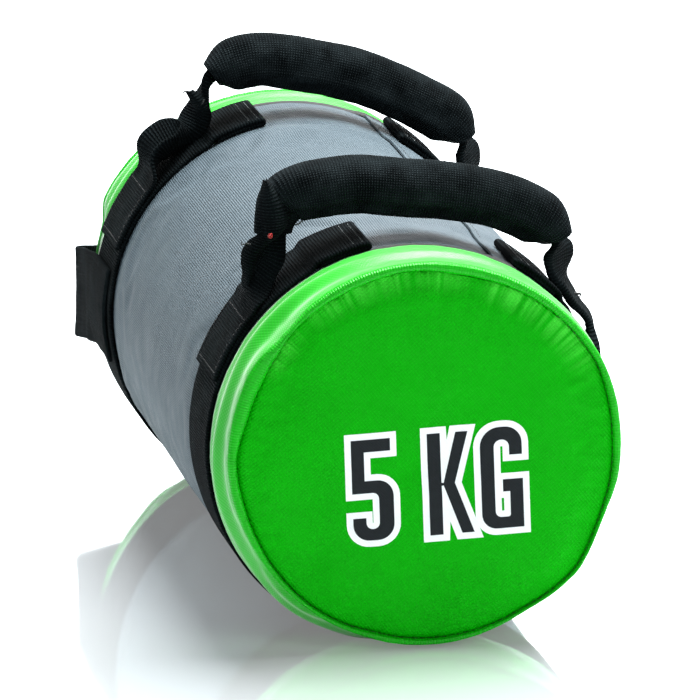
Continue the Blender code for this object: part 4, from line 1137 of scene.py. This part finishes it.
def hoop_threads(prefix, end):
    """Two stitched rows across each end of a hoop, and the boxes that hold the handle's webbing."""
    pale, dark = [], []

    def sew(rows, from_top, steps, rise, length, lengthwise=False):
        angle = rolled(from_top)
        turn = math.radians(angle)
        way = np.array([-math.sin(turn), 0.0, math.cos(turn)]) if lengthwise else LEVEL
        for step in steps:
            place, normal = on_outline(np.array([angle]), end * HOOP_Y + step, strap_low(angle) + rise)
            rows.append((place[0], way, normal[0], length))

    far, near = ROOT_ANGLE + arc(ANCHOR_LENGTH - 0.0035), ROOT_ANGLE + arc(0.004)
    for side in (1.0, -1.0):
        for reach in (0.0030, 0.0075):
            steps = np.arange(-SEWN_HALF, SEWN_HALF + 0.0001, 0.0026)
            sew(pale, side * (HOOP_END + arc(reach)), steps, 2 * THICK, 0.0012)
        for from_top in (far, near):
            steps = np.arange(-SEWN_HALF, SEWN_HALF + 0.0001, 0.0030)
            sew(dark, side * from_top, steps, STACK + THICK, 0.0022)
        edges = (-SEWN_HALF - 0.0010, SEWN_HALF + 0.0010)
        for from_top in np.arange(near + 1.6, far - 0.6, arc(0.0030)):
            sew(dark, side * from_top, edges, STACK + THICK, 0.0022, lengthwise=True)
    stitches(prefix + "_hoop_end_stitches", pale, PALE_THREAD, radius=0.00022)
    stitches(prefix + "_hoop_box_stitches", dark, BLACK_THREAD)


def rim_stitches(prefix, end):
    """Dark stitches sunk in the ridge of a rim seam, left out where its groove is shallow."""
    rows = []
    for angle in np.arange(0.0, 360.0, 2.25):
        side = math.radians(angle)
        groove, _, deep = (float(value) for value in rim_shape(angle, end))
        if deep < 0.35:
            continue
        radius = groove + 0.0001
        height = RIM_Y - DISC_RECESS - TUCK_DEPTH * deep + 0.0006
        place = np.array([radius * math.cos(side), end * height, RIM_RADIUS + radius * math.sin(side)])
        way = np.array([-math.sin(side), 0.0, math.cos(side)])
        rows.append((place, way, np.array([0.0, end, 0.0]), 0.0026))
    stitches(prefix + "_rim_stitches", rows, GREEN_THREAD, radius=0.00030)


def seam_tape(prefix, end):
    """The dark binding in the seam between the body and a side band."""
    y = end * SEAM_Y + np.array([-0.0021, -0.0012, 0.0, 0.0012, 0.0021])
    lift = np.array([-0.0004, 0.0010, 0.0013, 0.0010, -0.0004])
    angle, place = np.meshgrid(TURNS, y, indexing="ij")
    free = 1.0 - covered(angle, np.full_like(place, end * HOOP_Y))
    height = lift[None, :] * (0.2 + 0.8 * free) - hoop_pressed(angle, place) - 0.0002
    points = on_outline(angle, place, height + 0.0011 * lap_share(angle))[0]
    points[..., 2] = np.maximum(points[..., 2], 0.0)
    mesh = grid_mesh(prefix + "_seam_tape", points, AROUND_S, y, closed_u=True)
    face_out(mesh)
    add(prefix + "_seam_tape", mesh, BLACK_THREAD, "bag", "thread")


for sewn in (hoop_threads, rim_stitches, seam_tape):
    sewn("front", -1.0)
    sewn("rear", 1.0)


def lap_stitches():
    """A row of stitches along the lap's left edge, where it lies free between the hoops."""
    rows = []
    for y in np.arange(-0.118, 0.1181, 0.0042):
        place, normal = on_outline(np.array([LAP_LEFT - 2.2]), y, RAY_HEIGHT)
        hit = LAP_TREE.ray_cast(Vector(place[0]), -Vector(normal[0]))
        if hit[0] is not None:
            rows.append((np.array(hit[0]), LEVEL, normal[0], 0.0030))
    stitches("lap_stitches", rows, BLACK_THREAD, radius=0.00022)


lap_stitches()


def leaf(name, rows, base, body, seed):
    """A small piece of webbing that stands out towards the front, from rows of two edges and a bulge."""
    left = catmull([polar_place(turn, radius, bulge) for turn, radius, _, _, bulge in rows], 5)
    right = catmull([polar_place(turn, radius, bulge) for _, _, turn, radius, bulge in rows], 5)
    count = 15
    across = np.linspace(0.0, 1.0, count)
    flat = left[:, None] * (1.0 - across[None, :, None]) + right[:, None] * across[None, :, None]
    bulge = np.sin(np.pi * (across * 0.86 + 0.10)) ** 0.8
    middle = base - left[:, 1][:, None] * bulge[None, :]
    half = THICK * 0.5 * np.sin(np.pi * (across * 0.94 + 0.03))[None, :] ** 0.6
    front, rear = flat.copy(), flat.copy()
    front[..., 1] = middle - half + lumps(flat, 0.010, seed) * 0.0003
    rear[..., 1] = middle + half
    ring = np.concatenate([front, rear[:, ::-1]], 1)
    t = round_trip(across) * 0.022
    mesh = grid_mesh(name, ring, lengths_of(left)[:, None], t, closed_v=True, caps=True)
    outward(mesh)
    add(name, mesh, WEBBING, body, "webbing")


leaf("front_left_leaf", [
    (37.9, .1496, 37.3, .1493, .0064), (40.1, .1436, 36.2, .1408, .0084), (42.3, .1368, 35.8, .1288, .0106),
    (43.8, .1290, 38.2, .1230, .0125), (45.4, .1279, 40.9, .1203, .0108), (47.4, .1280, 44.4, .1197, .0088),
    (49.7, .1262, 47.7, .1180, .0072), (51.4, .1228, 49.8, .1150, .0060), (53.0, .1182, 52.0, .1120, .0050),
    (54.8, .1130, 54.2, .1095, .0040),
], -HOOP_Y - 0.0035, "front_handle", 191)
leaf("rear_left_tab", [
    (37.1, .1297, 35.3, .1286, .0030), (37.1, .1255, 34.0, .1240, .0045), (37.1, .1215, 33.4, .1202, .0050),
    (36.9, .1178, 33.8, .1160, .0035),
], HOOP_Y - 0.0085, "rear_handle", 193)


def tail(name, rows, material, radius):
    """A loose end of thread, from rows of angle, radius and depth."""
    line = catmull([polar_place(*row) for row in rows], 5)
    tangent = unit(np.gradient(line, axis=0))
    side = unit(np.cross(tangent, np.array([0.0, 1.0, 0.02])))
    third = np.cross(tangent, side)
    turn = np.linspace(0.0, 2.0 * math.pi, 6, endpoint=False)
    ring = side[:, None] * np.cos(turn)[None, :, None] + third[:, None] * np.sin(turn)[None, :, None]
    thin = radius * (1.0 - 0.6 * np.linspace(0.0, 1.0, len(line)) ** 2)
    points = line[:, None] + ring * thin[:, None, None]
    s = np.linspace(0.0, 0.01, len(line))[:, None]
    mesh = grid_mesh(name, points, s, np.linspace(0.0, 0.002, 7), closed_v=True, caps=True)
    outward(mesh)
    add(name, mesh, material, name.split("_")[0] + "_handle", "thread")


tail("front_left_thread", [(47.4, .1270, -.1600), (48.1, .1290, -.1604),
                           (48.9, .1297, -.1600), (48.7, .1312, -.1597)],
     BLACK_THREAD, 0.00035)
tail("front_inner_thread", [(36.6, .1228, -.1600), (35.6, .1226, -.1606),
                            (34.9, .1231, -.1604), (34.7, .1222, -.1600)],
     BLACK_THREAD, 0.00045)
tail("front_right_thread", [(-35.0, .1128, -.1500), (-35.6, .1114, -.1506),
                            (-36.0, .1102, -.1506), (-36.7, .1094, -.1504)],
     PALE_THREAD, 0.00018)
tail("front_right_knot", [(-43.2, .1106, -.1485), (-43.8, .1121, -.1487),
                          (-44.3, .1129, -.1485), (-44.9, .1118, -.1483)],
     BLACK_THREAD, 0.00070)
tail("rear_left_thread", [(36.4, .1290, .1385), (37.2, .1300, .1383),
                          (37.9, .1298, .1385), (38.3, .1305, .1387)],
     BLACK_THREAD, 0.00040)
tail("rear_tab_thread", [(34.0, .1225, .1345), (34.6, .1212, .1340),
                         (35.4, .1206, .1342), (36.2, .1208, .1348)],
     BLACK_THREAD, 0.00030)


def tack(name, place, radius, material, body):
    """A small round knot of thread."""
    mesh = bpy.data.meshes.new(name)
    shape = bmesh.new()
    bmesh.ops.create_icosphere(shape, subdivisions=3, radius=radius)
    for vertex in shape.verts:
        vertex.co *= 1.0 + 0.12 * noise.noise(vertex.co / 0.0009)
        vertex.co += Vector(place)
    shape.to_mesh(mesh)
    shape.free()
    mesh.uv_layers.new(name="UVMap")
    mesh.shade_smooth()
    add(name, mesh, material, body, "thread")


tack("red_tack", polar_place(42.8, 0.1265, -0.1668), 0.0013, RED_THREAD, "front_handle")


# Weight mark: its outlines are rows of place and corner radius, in millimetres

FIVE_BLACK = [
    (-36.4, 24.4, 0), (-16.7, 24.4, 0), (-16.7, 18.1, 0), (-30.0, 18.1, 0), (-30.0, 3.4, 0),
    (-15.7, 3.4, 8.0), (-15.7, -27.0, 8.2), (-36.3, -27.0, 8.2), (-36.3, -15.4, 0), (-29.7, -15.4, 0),
    (-29.7, -21.2, 3.2), (-23.0, -21.2, 3.2), (-23.0, -2.9, 3.2), (-36.4, -2.9, 0),
]
FIVE_WHITE = [
    (-39.6, 27.6, 0), (-13.5, 27.6, 0), (-13.5, 14.9, 0), (-26.8, 14.9, 0), (-26.8, 6.6, 0),
    (-12.5, 6.6, 11.2), (-12.5, -30.2, 11.4), (-39.6, -30.2, 11.4), (-39.6, -12.2, 0), (-26.55, -12.2, 0),
    (-26.55, -18.0, 0), (-26.2, -18.0, 0), (-26.2, -6.1, 0), (-39.6, -6.1, 0),
]
KILO_BLACK = [
    (2.0, 24.5, 0), (8.6, 24.5, 0), (8.6, -0.6, 0), (9.7, -0.8, 0), (16.4, 24.5, 0), (22.5, 24.5, 0),
    (15.3, -1.1, 0), (24.3, -26.7, 0), (18.2, -26.7, 0), (9.6, -2.0, 0), (8.6, -2.2, 0), (8.6, -26.8, 0),
    (2.0, -26.8, 0),
]
KILO_WHITE = [
    (-1.3, 27.7, 0), (11.7, 27.7, 0), (12.0, 20.7, 0), (13.7, 27.8, 0), (26.6, 27.8, 0), (18.7, -1.2, 0),
    (28.8, -29.9, 0), (15.6, -29.9, 0), (12.3, -20.5, 0), (11.8, -30.1, 0), (-1.3, -30.1, 0),
]
GRAM_BLACK = [
    (28.4, 25.5, 10.0), (49.3, 25.5, 8.5), (49.3, 11.0, 0), (42.9, 11.0, 0), (42.9, 19.0, 3.7),
    (35.3, 19.0, 3.7), (35.3, -20.4, 3.0), (42.9, -20.4, 1.2), (42.9, -7.6, 0), (39.4, -7.6, 0),
    (39.4, -1.4, 0), (49.5, -1.4, 0), (49.5, -26.1, 0), (28.4, -26.1, 7.5),
]
GRAM_WHITE = [
    (25.1, 28.7, 13.0), (52.6, 28.7, 11.5), (52.6, 7.8, 0), (39.7, 7.8, 0), (39.7, 15.6, 0.4),
    (38.5, 15.6, 0.4), (38.5, 1.8, 0), (52.7, 1.8, 0), (52.7, -29.3, 0), (25.1, -29.3, 10.5),
]
GRAM_SLIT = [(38.5, -10.8, 0), (39.7, -10.8, 0), (39.7, -17.2, 0), (38.5, -17.2, 0)]


def rounded(corners):
    """The outline with its corners rounded to their radii, in millimetres."""
    result = []
    count = len(corners)
    for step, (x, z, radius) in enumerate(corners):
        here = np.array([x, z])
        before = np.array(corners[step - 1][:2])
        after = np.array(corners[(step + 1) % count][:2])
        if radius <= 0:
            result.append(here)
            continue
        to_before, to_after = unit(before - here), unit(after - here)
        half = math.acos(float(np.clip(np.dot(to_before, to_after), -1, 1))) / 2
        cut = radius / math.tan(half)
        centre = here + unit(to_before + to_after) * radius / math.sin(half)
        first, last = here + to_before * cut - centre, here + to_after * cut - centre
        a0, a1 = math.atan2(first[1], first[0]), math.atan2(last[1], last[0])
        turn = (a1 - a0 + math.pi) % (2 * math.pi) - math.pi
        for part in np.linspace(0.0, 1.0, 9):
            a = a0 + turn * part
            result.append(centre + radius * np.array([math.cos(a), math.sin(a)]))
    return np.array(result)


def inside(points, polygon):
    x, z = points[:, 0], points[:, 1]
    hit = np.zeros(len(points), bool)
    for (x0, z0), (x1, z1) in zip(polygon, np.roll(polygon, -1, 0)):
        crosses = (z0 > z) != (z1 > z)
        edge = x0 + (z - z0) * (x1 - x0) / (z1 - z0 if z1 != z0 else 1e-9)
        hit ^= crosses & (x < edge)
    return hit


def filled(points, loops):
    """Where points are inside the first loop and in none of its holes."""
    keep = inside(points, loops[0])
    for hole in loops[1:]:
        keep &= ~inside(points, hole)
    return keep


def mark(name, glyphs, material, slot, lift):
    """Printed shapes that lie on the marked disc. Each glyph is an outline and its holes."""
    settled = FRONT_DISC.evaluated_get(bpy.context.evaluated_depsgraph_get()).to_mesh()
    surface = tree_of(settled)
    vertices, faces, flat = [], [], []
    roll = math.radians(2.0)
    for outlines in glyphs:
        loops = [rounded(corners) for corners in outlines]
        points, edges = [], []
        for loop in loops:
            dense = []
            for near, far in zip(loop, np.roll(loop, -1, 0)):
                parts = max(1, int(np.linalg.norm(far - near) / PRINT_CELL))
                dense += [near + (far - near) * part / parts for part in range(parts)]
            base = len(points)
            points += dense
            edges += [(base + i, base + (i + 1) % len(dense)) for i in range(len(dense))]
        low, high = np.min(points, 0), np.max(points, 0)
        grid = np.meshgrid(np.arange(low[0], high[0], PRINT_CELL), np.arange(low[1], high[1], PRINT_CELL))
        grid = np.stack(grid, -1).reshape(-1, 2)
        grid = grid[filled(grid, loops)]
        edge_points = np.array(points)
        points += [spot for spot in grid if np.min(np.linalg.norm(edge_points - spot, axis=1)) > 0.7]
        made = delaunay_2d_cdt([Vector(p) for p in points], edges, [], 0, 1e-6)
        spots = np.array([list(v) for v in made[0]])
        good = filled(np.array([np.mean(spots[list(face)], 0) for face in made[2]]), loops)
        base = len(vertices)
        for x, z in spots:
            px = x * math.cos(roll) - z * math.sin(roll)
            pz = x * math.sin(roll) + z * math.cos(roll) + PRINT_HEIGHT
            hit = surface.ray_cast(Vector((px / 1000, -0.25, pz / 1000)), Vector(LEVEL))
            vertices.append(hit[0] - Vector((0.0, lift, 0.0)))
            flat.append((px / 1000, pz / 1000))
        faces += [[base + i for i in face] for face, ok in zip(made[2], good) if ok]
    mesh = new_mesh(name, vertices, faces, [flat[corner] for face in faces for corner in face])
    if sum(polygon.normal.y for polygon in mesh.polygons) > 0:
        mesh.flip_normals()
    add(name, mesh, material, "bag", slot)


WHITE_SHAPES = [(FIVE_WHITE,), (KILO_WHITE,), (GRAM_WHITE, GRAM_SLIT)]
mark("weight_mark_white", WHITE_SHAPES, WHITE_PRINT, "print_white", 0.00010)
mark("weight_mark_black", [(FIVE_BLACK,), (KILO_BLACK,), (GRAM_BLACK,)], BLACK_PRINT, "print_black", 0.00020)


# Inner pieces, a little smaller than their solids and uneven

def inner_copy(node, name, shrink, seed):
    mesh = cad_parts[node].data.copy()
    mesh.materials.clear()
    shape = bmesh.new()
    shape.from_mesh(mesh)
    bmesh.ops.remove_doubles(shape, verts=shape.verts, dist=1e-6)
    bmesh.ops.subdivide_edges(shape, edges=shape.edges, cuts=1, use_grid_fill=True)
    shape.normal_update()
    for vertex in shape.verts:
        out = Vector((vertex.co.x, 0.0, vertex.co.z - AXIS_HEIGHT))
        if out.length > 0.02:
            lump = noise.noise(vertex.co / 0.03 + Vector((seed, 0.0, 0.0)))
            vertex.co -= out.normalized() * (shrink + 0.0008 * lump)
    shape.to_mesh(mesh)
    shape.free()
    if not mesh.uv_layers:
        mesh.uv_layers.new(name="UVMap")
    mesh.shade_smooth()
    slot = "liner" if "liner" in node else "sand_pouch" if "pouch" in node else "wadding"
    add(name, mesh, LINING, "bag", slot, node)


for number, node in enumerate((
    "inner_liner", "liner_cap", "wadding_sleeve", "front_wadding_pad", "rear_wadding_pad",
    "front_sand_pouch", "rear_sand_pouch",
)):
    inner_copy(node, "soft_" + node, 0.0030 if "pouch" not in node else 0.0005, number)


# Floor, light and camera

def aim(thing, back):
    """Turns a lamp or camera so that it looks against a direction."""
    thing.rotation_euler = (-back).to_track_quat("-Z", "Y").to_euler()
    bpy.context.scene.collection.objects.link(thing)


def studio():
    scene = bpy.context.scene
    floor_mesh = bpy.data.meshes.new("floor")
    corners = ((-12, -8), (12, -8), (12, 22), (-12, 22))
    floor_mesh.from_pydata([(x, y, -0.0004) for x, y in corners], [], [(0, 1, 2, 3)])
    gloss = Fabric("floor_gloss", (0.25, 0.27, 0.28), 0.9, 0.0)
    mirror = gloss.node("BsdfGlossy", {"Color": (0.56, 0.60, 0.61), "Roughness": 0.045})
    lift = gloss.math("MULTIPLY", gloss.node("LightPath", {}, "Is Camera Ray"), 0.19)
    both = gloss.node("AddShader", {0: gloss.tree.nodes["Principled BSDF"].outputs[0], 1: mirror})
    all_three = gloss.node("AddShader", {0: both, 1: gloss.node("Emission", {"Strength": lift})})
    gloss.put(gloss.tree.nodes["Material Output"].inputs["Surface"], all_three)
    floor_mesh.materials.append(gloss.material)
    floor = bpy.data.objects.new("floor", floor_mesh)
    scene.collection.objects.link(floor)

    scene.world = bpy.data.worlds.new("studio")
    scene.world.use_nodes = True
    sky = Nodes(scene.world.node_tree)
    background = sky.tree.nodes["Background"].inputs
    sky.put(background["Color"], (1.0, 1.0, 1.0))
    seen = sky.node("LightPath", {}, "Is Camera Ray")
    for kind in ("Is Glossy Ray", "Is Transmission Ray"):
        seen = sky.math("MAXIMUM", seen, sky.node("LightPath", {}, kind))
    depth = sky.node("SeparateXYZ", {0: sky.node("TexCoord", {}, "Generated")}, "Y")
    level = sky.mix(seen, sky.ramp(depth, -0.9, 0.9, 0.20, 0.27, "SMOOTHSTEP"), 1.0, "FLOAT")
    sky.put(background["Strength"], level)

    for name, place, size, power in (
        ("key", (1.2, -3.0, 2.2), 1.6, 40.0), ("top", (0.6, 0.55, 2.3), 1.9, 245.0),
        ("back", (0.9, 4.2, 1.6), 2.4, 30.0), ("left", (-2.8, 1.7, 0.9), 1.5, 5.0),
    ):
        lamp = bpy.data.lights.new(name, "AREA")
        lamp.shape = "DISK"
        lamp.size = size
        lamp.energy = power
        light = bpy.data.objects.new(name, lamp)
        light.location = place
        aim(light, Vector(place) - Vector((0.0, 0.0, 0.1)))

    azimuth, elevation, distance = math.radians(-10.6), math.radians(13.4), 5.0
    level = math.cos(elevation)
    back = Vector((math.sin(azimuth) * level, -math.cos(azimuth) * level, math.sin(elevation)))
    camera = bpy.data.cameras.new("camera")
    focal_pixels, picture_pixels, sensor = 9745.0, 700.0, 36.0
    camera.lens = focal_pixels / picture_pixels * sensor
    camera.sensor_width = sensor
    camera.clip_end = 100.0
    eye = bpy.data.objects.new("camera", camera)
    eye.location = Vector((0.0026, 0.0, 0.1023)) + back * distance
    aim(eye, back)
    scene.camera = eye
    scene.view_settings.view_transform = "Standard"


studio()
bpy.context.view_layer.update()
